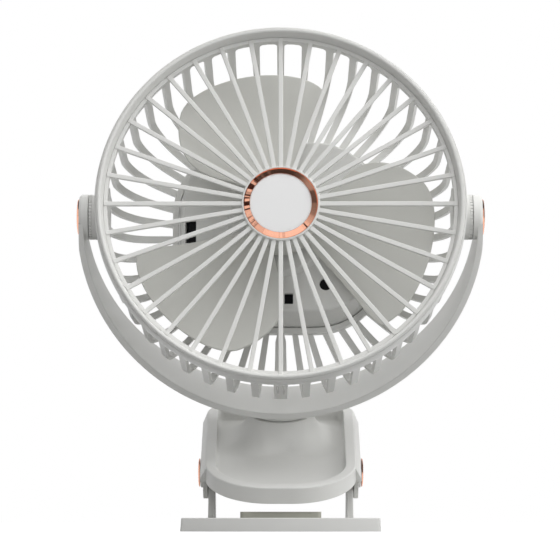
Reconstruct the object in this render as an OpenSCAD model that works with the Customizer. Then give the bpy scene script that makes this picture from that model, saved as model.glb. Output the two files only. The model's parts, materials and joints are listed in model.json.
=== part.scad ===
// Portable camping fan: a round guarded fan head in a U-shaped yoke, on a spring clamp that also
// stands as a foot. Millimetres, +Z up, the fan blows towards -Y. The origin is the point of the
// foot's underside below the middle of the fan.

/* [Foot and hinge] */
// Width of the foot plate
foot_w = 98; // [92:1:120]
// Depth of the foot plate, front to back
foot_d = 105; // [95:1:125]
// Thickness of the foot plate
foot_t = 6.6; // [5:0.1:9]
// Distance of the foot's front edge in front of the origin
foot_front = 45; // [40:1:55]
// Height of the hinge pin above the table
pin_z = 29.4; // [27:0.1:33]
// Distance of the hinge pin behind the origin
pin_y = 18; // [14:0.5:22]
// Radius of the hinge pin
pin_r = 2.4; // [2:0.1:3]
// Thickness of the foot's two ears
ear_t = 3.4; // [2.6:0.1:4]
// Width of the grip pad on the foot
pad_w = 39.6; // [24:0.2:48]
// Height of the grip pads above what holds them
pad_t = 3; // [2:0.1:4]

/* [Upper jaw] */
// Slope of the jaw, down towards its front lip
jaw_slope = 23.5; // [18:0.5:28]
// Width of the jaw's rim
jaw_w = 75; // [70:0.5:84]
// Length of the jaw, from lip to thumb end
jaw_l = 110; // [104:1:120]
// Corner radius at the lip
lip_r = 32; // [24:1:34]
// Corner radius at the thumb end
tail_r = 25; // [18:1:30]
// Distance from the lip to the swivel axis, along the jaw
jaw_front = 79.3; // [76:0.1:84]
// Height of the jaw's rim wall
jaw_h = 8.6; // [8:0.1:12]
// Width of the rim around the tray
rim_w = 5.3; // [3:0.1:6]
// Depth of the tray inside the rim
tray_depth = 6; // [4:0.1:6.2]
// How far the side skirts stand out past the rim
skirt_out = 2.65; // [1.8:0.05:3.5]
// Gap between the lip and the foot's grip pad when the clamp is closed
mouth = 3.6; // [2:0.1:6]
// Distance of the lip in front of the origin
lip_front = 36; // [32:0.5:40]
// Radius of the dome's foot, where it meets the tray
dome_r = 33; // [30:0.5:34]
// Radius of the dome's top
dome_top_r = 17; // [15:0.5:19]
// Height of the dome above the rim
dome_rise = 3.6; // [2:0.1:5]

/* [Yoke] */
// Gap between the trim ring and the yoke around it
head_gap = 5.9; // [4:0.1:8]
// Thickness of the yoke strip
yoke_t = 3.3; // [3:0.1:5]
// Thickness of the yoke's round ends
arm_t = 4.7; // [4:0.1:6]
// Width of the yoke strip at the swivel
yoke_w = 38; // [30:1:44]
// Diameter of the yoke's ends and of the head's pivot bosses
boss_d = 22.5; // [18:0.5:26]
// Height of the yoke's underside above the plane of the jaw's rim
neck_h = 11.7; // [10.5:0.1:18]
// Radius of the swivel post
post_r = 7.5; // [6:0.1:9]
// Radius of the pivot bolts
bolt_r = 3; // [2.4:0.1:3.6]

/* [Fan head] */
// Upward tilt of the head at rest
head_tilt = 12.6; // [0:0.1:20]
// How far the trim ring stands out past the cage's drum
ring_out = 2.25; // [2:0.25:3.5]
// Depth of the trim ring, front to back
ring_depth = 12.5; // [11.5:0.5:14]
// Depth of the tilt axis behind the ring's front edge
pivot_depth = 27.5; // [25:0.5:30]
// Outer radius of the cage's drum
cage_r = 89.5; // [86:0.5:94]
// Depth at which the slots between the ribs begin
slot_start = 15; // [14.5:0.5:20]
// Overall depth of the cage
cage_depth = 66; // [62:0.5:70]
// Radius of the bend at the cage's rear corner
bend_r = 21; // [16:0.5:24]
// Thickness of the cage wall and ribs
cage_t = 2.2; // [1.8:0.1:2.8]
// Number of cage ribs
rib_count = 44; // [32:4:48]
// Width of a cage rib at the drum
rib_w = 3.8; // [3:0.1:5]
// Width of a cage rib where it meets the housing
rib_end_w = 3.3; // [2.4:0.1:4]
// Number of grille spokes
spoke_count = 36; // [24:4:40]
// Width of a grille spoke
spoke_w = 2.4; // [1.8:0.1:3]
// Depth of a grille spoke, front to back
spoke_t = 2.3; // [1.8:0.1:3]
// Radius of the grille's hub
hub_r = 19.3; // [17:0.1:23]
// Width of the pale rim round the hub
hub_rim = 1.0; // [0.6:0.1:2]
// Width of the hub's metal ring
hub_ring_w = 3; // [2:0.1:4]

/* [Rotor] */
// Gap between the blade tips and the cage
tip_gap = 10.6; // [4:0.2:14]
// Number of blades
blade_count = 3; // [3:1:4]
// Thickness of a blade at its root
blade_t = 2.2; // [1.6:0.1:3]
// Radius of the blade hub
rotor_hub_r = 18; // [15:0.5:20]
// Depth of the middle of the blades behind the ring's front edge
blade_depth = 30.5; // [28:0.5:31]
// Rise of a blade over one radian of turn
blade_pitch = 12; // [8:0.5:14]
// Radius of the motor shaft
shaft_r = 1.6; // [1.2:0.1:2]

/* [Motor housing] */
// Half width of the housing at the rear
case_half_w = 51.5; // [50:0.5:54]
// Half height of the housing at the rear
case_half_h = 47; // [46:0.5:50]
// Corner radius of the housing at the rear
case_r = 34; // [32:1:36]
// Depth of the housing's front wall behind the ring's front edge
case_front = 42; // [40:0.5:44]
// How much the housing narrows towards its front wall
case_taper = 2.5; // [1:0.5:4]
// Wall of the housing
case_wall = 2; // [1.6:0.1:2.6]
// Thickness of the rear cover
cover_t = 5.5; // [4:0.5:7]
// Radius of the motor can
motor_r = 17; // [14:0.5:19]
// Radius of a battery cell
cell_r = 9.2; // [8:0.1:9.3]
// Length of a battery cell
cell_l = 65; // [50:1:66]
// Radius of the power button
button_r = 7; // [5:0.5:9]
// Travel of the power button
button_travel = 1; // [0.5:0.1:1.4]

/* [Fits] */
// Gap between pieces that move past each other
gap = 0.3; // [0.25:0.05:0.4]
// Radial clearance of a pin or shaft that turns in a bore
run_fit = 0.05; // [0.03:0.01:0.08]

/* [Hidden] */
$fn = 96;
body_colour = [0.83, 0.83, 0.81];
blade_colour = [0.76, 0.76, 0.74];
gold_colour = [0.80, 0.50, 0.37];
rubber_colour = [0.36, 0.36, 0.36];
steel_colour = [0.66, 0.67, 0.69];
dark_colour = [0.10, 0.10, 0.11];
cut = 1; // how far a cutter runs past what it cuts

// Frames. The jaw frame has its origin where the swivel axis crosses the plane of the rim.
lip_bottom_z = foot_t + pad_t + mouth;
lip_top_z = lip_bottom_z + jaw_h * cos(jaw_slope);
swivel_y = jaw_front * cos(jaw_slope) - lip_front;
swivel_z = lip_top_z + jaw_front * sin(jaw_slope);
ring_r = cage_r + ring_out;
yoke_r = ring_r + head_gap + yoke_t;
pivot_rise = yoke_r + neck_h;
pivot_y = swivel_y - pivot_rise * sin(jaw_slope);
pivot_z = swivel_z + pivot_rise * cos(jaw_slope);

module in_jaw()
    translate([0, swivel_y, swivel_z]) rotate([jaw_slope, 0, 0]) children();

module in_yoke()
    in_jaw() translate([0, 0, pivot_rise]) children();

// The head frame looks out of the front: z = 0 at the ring's front edge, depths run to -z.
module in_head()
    translate([0, pivot_y, pivot_z]) rotate([90 - head_tilt, 0, 0])
        translate([0, 0, pivot_depth]) children();

// Places children at a depth in the head, still facing forward
module at_depth(d)
    translate([0, 0, -d]) children();

// Copies children left and right
module both_sides() {
    children();
    mirror([1, 0, 0]) children();
}

function arc(cx, cy, r, from, to, steps) =
    [for (i = [0:steps]) let (a = from + (to - from) * i / steps) [cx + r * cos(a), cy + r * sin(a)]];

// A solid of constant outline: a rectangle with corner radius r about centres at (+-x, +-y)
module slab(x, y, r, h)
    linear_extrude(height = h) {
        square([2 * (x + r), 2 * y], center = true);
        square([2 * x, 2 * (y + r)], center = true);
        for (sx = [-x, x], sy = [-y, y])
            translate([sx, sy]) circle(r);
    }

// The same outline, tapering from r1 at the bottom to r2 at the top
module tapered_slab(x, y, r1, r2, h) {
    for (sx = [-x, x], sy = [-y, y])
        translate([sx, sy, 0]) cylinder(r1 = r1, r2 = r2, h = h);
    rotate([90, 0, 0]) linear_extrude(height = 2 * y, center = true)
        polygon([[-x - r1, 0], [x + r1, 0], [x + r2, h], [-x - r2, h]]);
    rotate([90, 0, 90]) linear_extrude(height = 2 * x, center = true)
        polygon([[-y - r1, 0], [y + r1, 0], [y + r2, h], [-y - r2, h]]);
}

// ---------------------------------------------------------------- foot

cheek_in = jaw_w / 2 - 1;                    // inner face of the jaw's cheeks
ear_out = cheek_in - gap;
ear_base = 34;                               // length of an ear where it meets the plate
foot_corner = 9;
front_bow = 160;                             // radius of the foot's bowed front edge
foot_edge = 0.8;
foot_mid_y = foot_d / 2 - foot_front;

module foot_outline(inset)
    intersection() {
        translate([0, foot_mid_y]) {
            square([foot_w - 2 * foot_corner, foot_d - 2 * inset], center = true);
            square([foot_w - 2 * inset, foot_d - 2 * foot_corner], center = true);
            for (sx = [-1, 1], sy = [-1, 1])
                translate([sx * (foot_w / 2 - foot_corner), sy * (foot_d / 2 - foot_corner)])
                    circle(foot_corner - inset);
        }
        translate([0, front_bow - foot_front]) circle(front_bow - inset);
    }

foot_pad_r = 7;
foot_pad_depth = 1.4;
function foot_pad_places() = [
    for (sx = [-1, 1], y = [foot_corner + 8 - foot_front, foot_d - foot_front - foot_corner - 6])
        [sx * (foot_w / 2 - foot_corner - 6), y]
];

// Ear of the foot: a gusset that rises to a round eye on the hinge pin, under the jaw's floor
module ear() {
    ear_r = -jaw_pin_z + floor_z - floor_t - gap;
    shoulder = ear_r * 0.2;
    translate([ear_out - ear_t, 0, 0]) rotate([90, 0, 90]) linear_extrude(height = ear_t)
        difference() {
            union() {
                polygon([
                    [pin_y - ear_base / 2, foot_t - 0.5], [pin_y + ear_base / 2, foot_t - 0.5],
                    [pin_y + ear_r, pin_z - shoulder], [pin_y - ear_r, pin_z - shoulder]
                ]);
                translate([pin_y, pin_z]) circle(ear_r);
            }
            translate([pin_y, pin_z]) circle(pin_r + run_fit);
        }
    // peg that carries the spring's lower leg
    translate([ear_out - ear_t - peg_l, pin_y + peg_dy, pin_z + peg_dz]) rotate([0, 90, 0])
        cylinder(r = peg_r, h = peg_l + 0.5);
}

module foot_plate()
    color(body_colour) difference() {
        union() {
            linear_extrude(height = foot_t - foot_edge) foot_outline(0);
            translate([0, 0, foot_t - foot_edge - 0.01])
                linear_extrude(height = foot_edge + 0.01) foot_outline(foot_edge / 2);
            both_sides() ear();
        }
        for (p = foot_pad_places())
            translate([p.x, p.y, -cut]) cylinder(r = foot_pad_r, h = foot_pad_depth + cut);
    }

module foot_pads()
    color(rubber_colour) for (p = foot_pad_places())
        translate([p.x, p.y, 0]) cylinder(r = foot_pad_r - gap / 2, h = foot_pad_depth - gap / 10);

pad_l = 26;
pad_rib = 1.6;
pad_groove = 1.2;
pad_mid_y = pad_l / 2 + 6 - lip_front;

// Ribbed rubber pad, lying on z = 0
module grip_pad(w, l, t)
    difference() {
        slab(w / 2 - 2, l / 2 - 2, 2, t);
        for (i = [0:2])
            translate([0, (i - 1) * l / 3.6, t]) rotate([0, 90, 0])
                cylinder(r = pad_groove, h = w - 8 * pad_rib, center = true);
    }

module lower_pad()
    color(rubber_colour) translate([0, pad_mid_y, foot_t]) grip_pad(pad_w, pad_l, pad_t);

cap_out = jaw_w / 2 + skirt_out + gap;       // inner face of the hinge caps
hinge_cap_r = 7.2;
hinge_cap_t = 1.1;

module hinge_pin()
    color(steel_colour) translate([0, pin_y, pin_z]) rotate([0, 90, 0])
        cylinder(r = pin_r, h = 2 * cap_out, center = true);

module hinge_caps()
    color(gold_colour) both_sides() translate([cap_out, pin_y, pin_z]) rotate([0, 90, 0])
        rotate_extrude() polygon(concat(
            [[0, 0], [hinge_cap_r - 0.4, 0], [hinge_cap_r, 0.4]],
            [[hinge_cap_r - 1.6, hinge_cap_t], [0, hinge_cap_t]]));

// ---------------------------------------------------------------- torsion spring

wire_r = 0.8;
coil_r = pin_r + 1.8;
coil_turns = 5;
coil_pitch = 2 * wire_r + 0.35;
coil_steps = 15;                             // rings of the sweep in one turn
wire_sides = 6;
foot_leg_l = 12;
foot_leg_slope = 15;                         // the lower leg falls this much towards the rear
jaw_leg_l = 19;
jaw_leg_slope = jaw_slope + 1.5;             // the upper leg lies along the jaw's underside
coil_span = coil_turns * 360 + 180 - foot_leg_slope - jaw_leg_slope;
coil_start_x = ear_out - ear_t - wire_r - gap;
peg_r = 1.2;
peg_l = 2 * (wire_r + gap);
peg_reach = foot_leg_l - 2;                  // how far along the lower leg its peg stands
peg_dy = peg_reach * cos(foot_leg_slope) - (coil_r + wire_r + peg_r + 0.1) * sin(foot_leg_slope);
peg_dz = -peg_reach * sin(foot_leg_slope) - (coil_r + wire_r + peg_r + 0.1) * cos(foot_leg_slope);

// The coil runs backwards round the pin, from its lower leg over the front to its upper leg
function coil_point(a) = let (t = 270 - foot_leg_slope - a)
    [coil_start_x - coil_pitch * a / 360, coil_r * cos(t), coil_r * sin(t)];

// The wire's route: a straight leg, the coil, and a straight leg under the jaw
coil_path = [
    coil_point(0) + foot_leg_l * [0, cos(foot_leg_slope), -sin(foot_leg_slope)],
    for (i = [0:coil_steps * coil_span / 360]) coil_point(i * 360 / coil_steps),
    coil_point(coil_span) + jaw_leg_l * [0, cos(jaw_leg_slope), sin(jaw_leg_slope)]
];

function unit(v) = v / norm(v);
function path_dir(p, i) = unit(p[min(i + 1, len(p) - 1)] - p[max(i - 1, 0)]);
function ring_at(p, i) = let (
        d = path_dir(p, i),
        u = unit(cross(d, [1, 0, 0])),
        v = cross(d, u)
    ) [for (k = [0:wire_sides - 1]) p[i] + wire_r * (cos(k * 360 / wire_sides) * u
        + sin(k * 360 / wire_sides) * v)];

module sweep(p) {
    rings = len(p);
    polyhedron(
        points = [for (i = [0:rings - 1]) each ring_at(p, i)],
        faces = concat(
            [[for (k = [0:wire_sides - 1]) k]],
            [for (i = [0:rings - 2], k = [0:wire_sides - 1]) let (n = (k + 1) % wire_sides)
                [i * wire_sides + k, (i + 1) * wire_sides + k, (i + 1) * wire_sides + n,
                 i * wire_sides + n]],
            [[for (k = [wire_sides - 1:-1:0]) (rings - 1) * wire_sides + k]]),
        convexity = 10);
}

module torsion_spring()
    color(steel_colour) both_sides() translate([0, pin_y, pin_z]) sweep(coil_path);

// ---------------------------------------------------------------- upper jaw (jaw frame)

front_x = jaw_w / 2 - lip_r;
front_y = lip_r - jaw_front;
tail_x = jaw_w / 2 - tail_r;
tail_y = jaw_l - jaw_front - tail_r;
floor_z = -tray_depth;
floor_t = 2.2;
flank_h = 6.5;                               // height over which the side skirts flare out
skirt_front = 26 - jaw_front;                // where the skirts begin, behind the lip
tail_h = 13;                                 // height of the skirt at the thumb end
cheek_t = 2.4;
cheek_r = 13;
skirt_pin_r = 7.6;                           // the skirt's radius round the pin
skirt_reach = 40;                            // depth below the rim that no skirt passes
skirt_slant = 3;                             // how far the skirt's front edge leans back
tail_slant = 8;

// The hinge pin's place in the jaw frame
pin_dy = pin_y - swivel_y;
pin_dz = pin_z - swivel_z;
jaw_pin_y = pin_dy * cos(jaw_slope) + pin_dz * sin(jaw_slope);
jaw_pin_z = pin_dz * cos(jaw_slope) - pin_dy * sin(jaw_slope);

module jaw_outline(out) {
    for (sx = [-1, 1]) {
        translate([sx * front_x, front_y]) circle(lip_r + out);
        translate([sx * tail_x, tail_y]) circle(tail_r + out);
    }
    translate([-jaw_w / 2 - out, front_y]) square([jaw_w + 2 * out, tail_y - front_y]);
    translate([-front_x, -jaw_front - out]) square([2 * front_x, lip_r]);
    translate([-tail_x, tail_y]) square([2 * tail_x, tail_r + out]);
}

// Flank of the jaw: the outline grows by `out` over a height h, upside down
module jaw_flank(out, h)
    translate([0, 0, -h]) {
        for (sx = [-1, 1])
            translate([sx * tail_x, tail_y, 0]) cylinder(r1 = tail_r + out, r2 = tail_r, h = h);
        translate([0, (skirt_front + tail_y) / 2, 0]) rotate([90, 0, 0])
            linear_extrude(height = tail_y - skirt_front, center = true)
                polygon([[-jaw_w / 2 - out, 0], [jaw_w / 2 + out, 0], [jaw_w / 2, h],
                         [-jaw_w / 2, h]]);
        rotate([90, 0, 90]) linear_extrude(height = 2 * tail_x, center = true)
            polygon([[0, 0], [tail_y + tail_r + out, 0], [tail_y + tail_r, h], [0, h]]);
    }

// Side view of the skirts, as (y, z) in the jaw frame
module skirt_profile() {
    tail_end = tail_y + tail_r + skirt_out;
    polygon([
        [skirt_front, 0], [skirt_front + skirt_slant, -jaw_h],
        [jaw_pin_y - skirt_pin_r * cos(20), jaw_pin_z - skirt_pin_r * sin(20)],
        [jaw_pin_y + skirt_pin_r * sin(20), jaw_pin_z - skirt_pin_r * cos(20)],
        [tail_end - tail_slant, -tail_h], [tail_end, -tail_h], [tail_end, 0]
    ]);
    translate([jaw_pin_y, jaw_pin_z]) circle(skirt_pin_r);
}

dome_arc_r = let (run = dome_r - dome_top_r, rise = dome_rise + tray_depth)
    (run * run + rise * rise) / (2 * rise);
dome_top_t = 3;
dome_hollow_r = dome_top_r - 3.5;

module jaw_dome()
    intersection() {
        translate([0, 0, floor_z - floor_t / 2])
            rotate_extrude() difference() {
                square([dome_r, dome_rise + tray_depth + floor_t / 2]);
                translate([dome_r, floor_t / 2 + dome_arc_r]) circle(dome_arc_r);
                translate([dome_r, floor_t / 2 + dome_arc_r])
                    square([cut, dome_arc_r]);
            }
        translate([0, 0, -jaw_h]) linear_extrude(height = 2 * jaw_h) jaw_outline(-rim_w / 2);
    }

module upper_jaw()
    color(body_colour) in_jaw() difference() {
        union() {
            difference() {
                union() {
                    translate([0, 0, -jaw_h]) linear_extrude(height = jaw_h) jaw_outline(0);
                    intersection() {
                        union() {
                            jaw_flank(skirt_out, flank_h);
                            translate([0, 0, -skirt_reach])
                                linear_extrude(height = skirt_reach - flank_h)
                                    jaw_outline(skirt_out);
                        }
                        rotate([90, 0, 90]) linear_extrude(height = 2 * jaw_w, center = true)
                            skirt_profile();
                    }
                }
                // the tray above its floor, and the hollow under it
                translate([0, 0, floor_z]) linear_extrude(height = jaw_h) jaw_outline(-rim_w);
                translate([0, 0, -skirt_reach])
                    linear_extrude(height = skirt_reach + floor_z - floor_t)
                        jaw_outline(cheek_in - jaw_w / 2);
            }
            jaw_dome();
            // round cheeks inside the skirts
            both_sides() translate([cheek_in, jaw_pin_y, jaw_pin_z]) rotate([0, 90, 0])
                intersection() {
                    cylinder(r = cheek_r, h = cheek_t);
                    translate([jaw_pin_z + jaw_h + 1, -cheek_r, 0])
                        cube([2 * cheek_r, 2 * cheek_r, cheek_t]);
                }
        }
        translate([0, jaw_pin_y, jaw_pin_z]) rotate([0, 90, 0])
            cylinder(r = pin_r + run_fit, h = 2 * jaw_w, center = true);
        translate([0, 0, floor_z - floor_t - cut])
            cylinder(r = dome_hollow_r, h = tray_depth + dome_rise + floor_t - dome_top_t + cut);
        cylinder(r = post_r + run_fit, h = 2 * jaw_h, center = true);
    }

upper_pad_w = 28;
upper_pad_l = 24;
upper_pad_t = 1.6;

module upper_pad()
    color(rubber_colour) in_jaw()
        translate([0, 8 + upper_pad_l / 2 - jaw_front, floor_z - floor_t]) rotate([0, 180, 0])
            grip_pad(upper_pad_w, upper_pad_l, upper_pad_t);

washer_t = 1;

module swivel_washer()
    color(dark_colour) in_jaw() translate([0, 0, dome_rise]) difference() {
        cylinder(r = dome_top_r - 0.8, h = washer_t);
        translate([0, 0, -cut]) cylinder(r = post_r + gap, h = washer_t + 2 * cut);
    }

// ---------------------------------------------------------------- yoke (yoke frame)

arm_flat = 0.8;                              // how far the strip is flattened at its ends
arm_out = yoke_r - arm_flat;                 // outer face of the yoke's round ends
arm_in = arm_out - arm_t;                    // and their inner face
collar_r = dome_top_r - 1.2;
post_flange_z = dome_rise + washer_t + gap;
pivot_washer_t = 1.3;
boss_out = arm_in - gap - pivot_washer_t;    // outer face of the head's pivot bosses
seat_t = 1.5;                                // how deep the collar sits in the strip

// The strip widens from its round ends down to the swivel
module yoke_strip()
    intersection() {
        rotate([90, 0, 0]) difference() {
            cylinder(r = yoke_r, h = yoke_w, center = true, $fn = 180);
            cylinder(r = yoke_r - yoke_t, h = yoke_w + cut, center = true, $fn = 180);
        }
        rotate([90, 0, 90]) linear_extrude(height = 2 * arm_out, center = true)
            polygon([[-boss_d / 2, 0], [boss_d / 2, 0], [yoke_w / 2, -yoke_r - cut],
                     [-yoke_w / 2, -yoke_r - cut]]);
    }

module yoke()
    color(body_colour) in_yoke() difference() {
        union() {
            yoke_strip();
            both_sides() translate([arm_in, 0, 0]) rotate([0, 90, 0])
                cylinder(d = boss_d, h = arm_out - arm_in);
        }
        rotate([0, 90, 0]) cylinder(r = bolt_r + run_fit, h = 2 * (arm_out + cut), center = true);
        translate([0, 0, -yoke_r - cut])
            cylinder(r = post_r + run_fit, h = yoke_t + 2 * cut);
        translate([0, 0, -yoke_r - cut]) cylinder(r = collar_r + run_fit, h = cut + seat_t);
    }

module swivel_post()
    color(body_colour) in_jaw() {
        // collar between the strip and the washer on the dome
        translate([0, 0, post_flange_z])
            cylinder(r = collar_r, h = neck_h + seat_t - post_flange_z);
        translate([0, 0, dome_rise - dome_top_t - post_end])
            cylinder(r = post_r, h = neck_h + yoke_t - 0.4 - dome_rise + dome_top_t + post_end);
    }

nut_r = 11.5;
nut_t = 4;
post_end = nut_t + gap + 1.7;                // how far the post reaches below the dome's top wall

module swivel_nut()
    color(steel_colour) in_jaw() translate([0, 0, dome_rise - dome_top_t - gap - nut_t])
        difference() {
            cylinder(r = nut_r, h = nut_t, $fn = 6);
            translate([0, 0, -cut]) cylinder(r = post_r + run_fit, h = nut_t + 2 * cut);
        }

pivot_cap_r = 9;
pivot_cap_t = 1.4;
bolt_in = cage_r - 3.5;                      // inner end of a pivot bolt

module pivot_bolts()
    color(steel_colour) in_yoke() both_sides() translate([bolt_in, 0, 0]) rotate([0, 90, 0])
        cylinder(r = bolt_r, h = arm_out - bolt_in);

module pivot_caps()
    color(gold_colour) in_yoke() both_sides() translate([arm_out, 0, 0]) rotate([0, 90, 0])
        rotate_extrude() polygon([[0, 0], [pivot_cap_r, 0], [pivot_cap_r, 0.6],
            [pivot_cap_r - 0.9, pivot_cap_t - 0.4], [pivot_cap_r - 2.6, pivot_cap_t],
            [0, pivot_cap_t]]);

// ---------------------------------------------------------------- guard (head frame)

ridge_r = cage_r;
bead_depth = 6;
funnel_r = cage_r - cage_t;                  // foot of the ring's funnel wall
flange_r = funnel_r - 2;                     // inner edge of the grille's flange
grille_depth = 5.5;
band_front = grille_depth + 3.6;             // front edge of the cage's band

module trim_ring()
    color(body_colour) in_head() rotate_extrude($fn = 180) polygon(concat(
        [[ridge_r - 0.5, 0]],
        [for (a = [90:-15:15]) [ridge_r + ring_out * cos(a), bead_depth * (sin(a) - 1)]],
        [[ring_r, -bead_depth], [ring_r - 0.3, -bead_depth - 3], [ring_r - 1.3, -ring_depth + 0.6],
         [ring_r - 1.9, -ring_depth], [cage_r + gap / 2, -ring_depth],
         [cage_r + gap / 2, -band_front + gap / 2], [funnel_r, -band_front + gap / 2],
         [funnel_r, -grille_depth], [ridge_r - 1.1, -0.6]]));

hub_front = 4.6;                             // depth of the hub's face
hub_back = 10.5;
ring_seat = 1.2;
disc_r = hub_r - hub_rim - hub_ring_w;

module front_grille()
    color(body_colour) in_head() {
        at_depth(grille_depth + spoke_t) for (i = [0:spoke_count - 1])
            rotate([0, 0, 90 + i * 360 / spoke_count]) translate([hub_r - 1, -spoke_w / 2, 0])
                cube([funnel_r - gap / 6 - hub_r + 1, spoke_w, spoke_t]);
        at_depth(band_front - gap / 2) difference() {
            cylinder(r = funnel_r - gap / 6, h = band_front - gap / 2 - grille_depth - 0.4,
                $fn = 180);
            translate([0, 0, -cut]) cylinder(r = flange_r, h = ring_depth, $fn = 180);
        }
        rotate_extrude() difference() {
            polygon([[0, -hub_back], [hub_r - 1.5, -hub_back], [hub_r, -hub_back + 1.5],
                [hub_r, -hub_front - 0.5], [hub_r - 0.5, -hub_front], [0, -hub_front]]);
            translate([-cut, -hub_front - ring_seat]) square([hub_r - hub_rim + cut, cut + ring_seat]);
            translate([-cut, -hub_back - cut]) square([hub_r - 4 + cut, 2.4 + cut]);
        }
    }

module hub_ring()
    color(gold_colour) in_head() at_depth(hub_front + ring_seat) rotate_extrude()
        polygon([[disc_r + gap / 6, 0], [disc_r + hub_ring_w - gap / 6, 0],
            [disc_r + hub_ring_w - gap / 6, ring_seat + 0.1],
            [disc_r + hub_ring_w - 0.7, ring_seat + 0.35], [disc_r + 0.6, ring_seat + 0.2],
            [disc_r + gap / 6, ring_seat]]);

module hub_disc()
    color([0.86, 0.86, 0.86]) in_head() at_depth(hub_front + ring_seat)
        cylinder(r = disc_r, h = ring_seat + 0.1);

// Section of the cage wall, as (radius, depth): drum, rear corner and rear face
drum_end_r = cage_r - 1.2;                   // the drum's radius where the corner begins
corner_x = drum_end_r - bend_r;
corner_z = -cage_depth + bend_r;
taper_start = slot_start - 1.5;              // depth at which the drum begins to narrow

module cage_section()
    polygon(concat(
        [[0, -cage_depth], [corner_x, -cage_depth]],
        arc(corner_x, corner_z, bend_r, 280, 360, 7),
        [[cage_r, -taper_start], [cage_r, -band_front], [cage_r - cage_t, -band_front],
         [cage_r - cage_t, -taper_start]],
        arc(corner_x, corner_z, bend_r - cage_t, 360, 270, 7),
        [[0, -cage_depth + cage_t]]));

slot_half = (2 * PI * cage_r / rib_count - rib_w) / 2;
slot_corner = 2.8;                           // corner radius of a slot's front end
case_x = case_half_w - case_r;               // centres of the housing's corners
case_y = case_half_h - case_r;
frame_w = 3.4;                               // rim of the cage round the housing
latch_rib_w = 7;                             // the bottom rib is wider and holds a snap tongue
case_depth = cage_depth - 1 - case_front;    // depth of the housing's body
case_end = case_front + case_depth;
slot_in = case_half_h + frame_w - 2;         // inner end of the slots, before the frame
slot_in_half = (2 * PI * slot_in / rib_count - rib_end_w) / 2;
boss_foot = 3;                               // how far a boss spreads where it meets the drum
boss_foot_h = 6.2;
boss_in = cage_r - cage_t - 2.6;             // inner face of a boss, clear of the ribs
tongue_w = 2.2;
tongue_l = 18;
tongue_slit = 0.85;                          // slit round three sides of the tongue
tongue_z = -slot_start - 3;                  // its free end

module cage_slots()
    for (i = [0:rib_count - 1])
        rotate([0, 0, 90 + (i + 0.5) * 360 / rib_count]) {
            at_depth(cage_depth + cut)
                linear_extrude(height = cage_depth + cut - slot_start - slot_corner)
                    polygon([[slot_in, -slot_in_half], [cage_r + cut, -slot_half],
                             [cage_r + cut, slot_half], [slot_in, slot_in_half]]);
            translate([corner_x, 0, -slot_start - slot_corner]) rotate([0, 90, 0])
                linear_extrude(height = bend_r + 4) {
                    for (s = [-1, 1])
                        translate([0, s * (slot_half - slot_corner)])
                            circle(slot_corner, $fn = 16);
                    translate([-slot_corner, slot_corner - slot_half])
                        square([2 * slot_corner, 2 * (slot_half - slot_corner)]);
                }
        }

module rear_cage()
    color(body_colour) in_head() difference() {
        union() {
            difference() {
                rotate_extrude($fn = 3 * rib_count) cage_section();
                cage_slots();
            }
            // frame round the housing
            at_depth(cage_depth) slab(case_x, case_y, case_r + frame_w, cage_t + 1.6);
            // pivot bosses and their pads on the drum
            both_sides() translate([boss_in, 0, -pivot_depth]) rotate([0, 90, 0]) {
                cylinder(r = boss_d / 2, h = boss_out - boss_in);
                cylinder(r1 = boss_d / 2 + boss_foot, r2 = boss_d / 2, h = boss_foot_h);
            }
            // wide rib at the bottom
            intersection() {
                rotate_extrude($fn = 3 * rib_count) cage_section();
                translate([-latch_rib_w / 2, -cage_r - cut, -cage_depth - cut])
                    cube([latch_rib_w, cage_r - slot_in + cut, cage_depth - slot_start + cut]);
            }
        }
        at_depth(cage_depth + cut) slab(case_x, case_y, case_r + gap / 2, cage_t + 10);
        rotate([0, 90, 0]) translate([pivot_depth, 0, 0])
            cylinder(r = bolt_r + run_fit, h = 2 * boss_out + 2, center = true);
        // slit round the snap tongue in the bottom rib
        difference() {
            translate([-tongue_w / 2 - tongue_slit, -cage_r - cut, tongue_z - tongue_l])
                cube([tongue_w + 2 * tongue_slit, 2 * cage_t + cut, tongue_l]);
            translate([-tongue_w / 2, -cage_r - 2 * cut, tongue_z - tongue_l - cut])
                cube([tongue_w, 2 * cage_t + 3 * cut, tongue_l + cut - tongue_slit]);
        }
    }

teeth = 40;
tooth_r = 0.45;

// Toothed friction washers between the head's bosses and the yoke's ends
module pivot_washers()
    color(body_colour) in_head() both_sides() translate([boss_out, 0, -pivot_depth])
        rotate([0, 90, 0]) difference() {
            cylinder(d = boss_d, h = pivot_washer_t);
            translate([0, 0, -cut]) cylinder(r = bolt_r + gap, h = pivot_washer_t + 2 * cut);
            for (i = [0:teeth - 1])
                rotate([0, 0, i * 360 / teeth]) translate([boss_d / 2, 0, pivot_washer_t * 0.4])
                    cylinder(r = tooth_r, h = pivot_washer_t, $fn = 4);
        }

// ---------------------------------------------------------------- motor housing (head frame)

motor_boss_r = 26.5;
motor_boss_h = 3;
cell_y = 29;
cell_depth = case_front + case_wall + cell_r + 0.4;
screw_x = case_half_w - 13;
screw_y = case_half_h - 13.5;
screw_r = 1.5;
screw_post_l = 8;

module at_screws()
    for (sx = [-1, 1], sy = [-1, 1])
        translate([sx * screw_x, sy * screw_y, 0]) children();

module case_openings() {
    translate([-45.2, -3]) square([5.4, 12], center = true);
    translate([4, -38]) square([4.3, 5.5], center = true);
    translate([22.5, -30.5]) circle(3.15);
    translate([5, 35]) square([1.6, 7], center = true);
}

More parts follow.
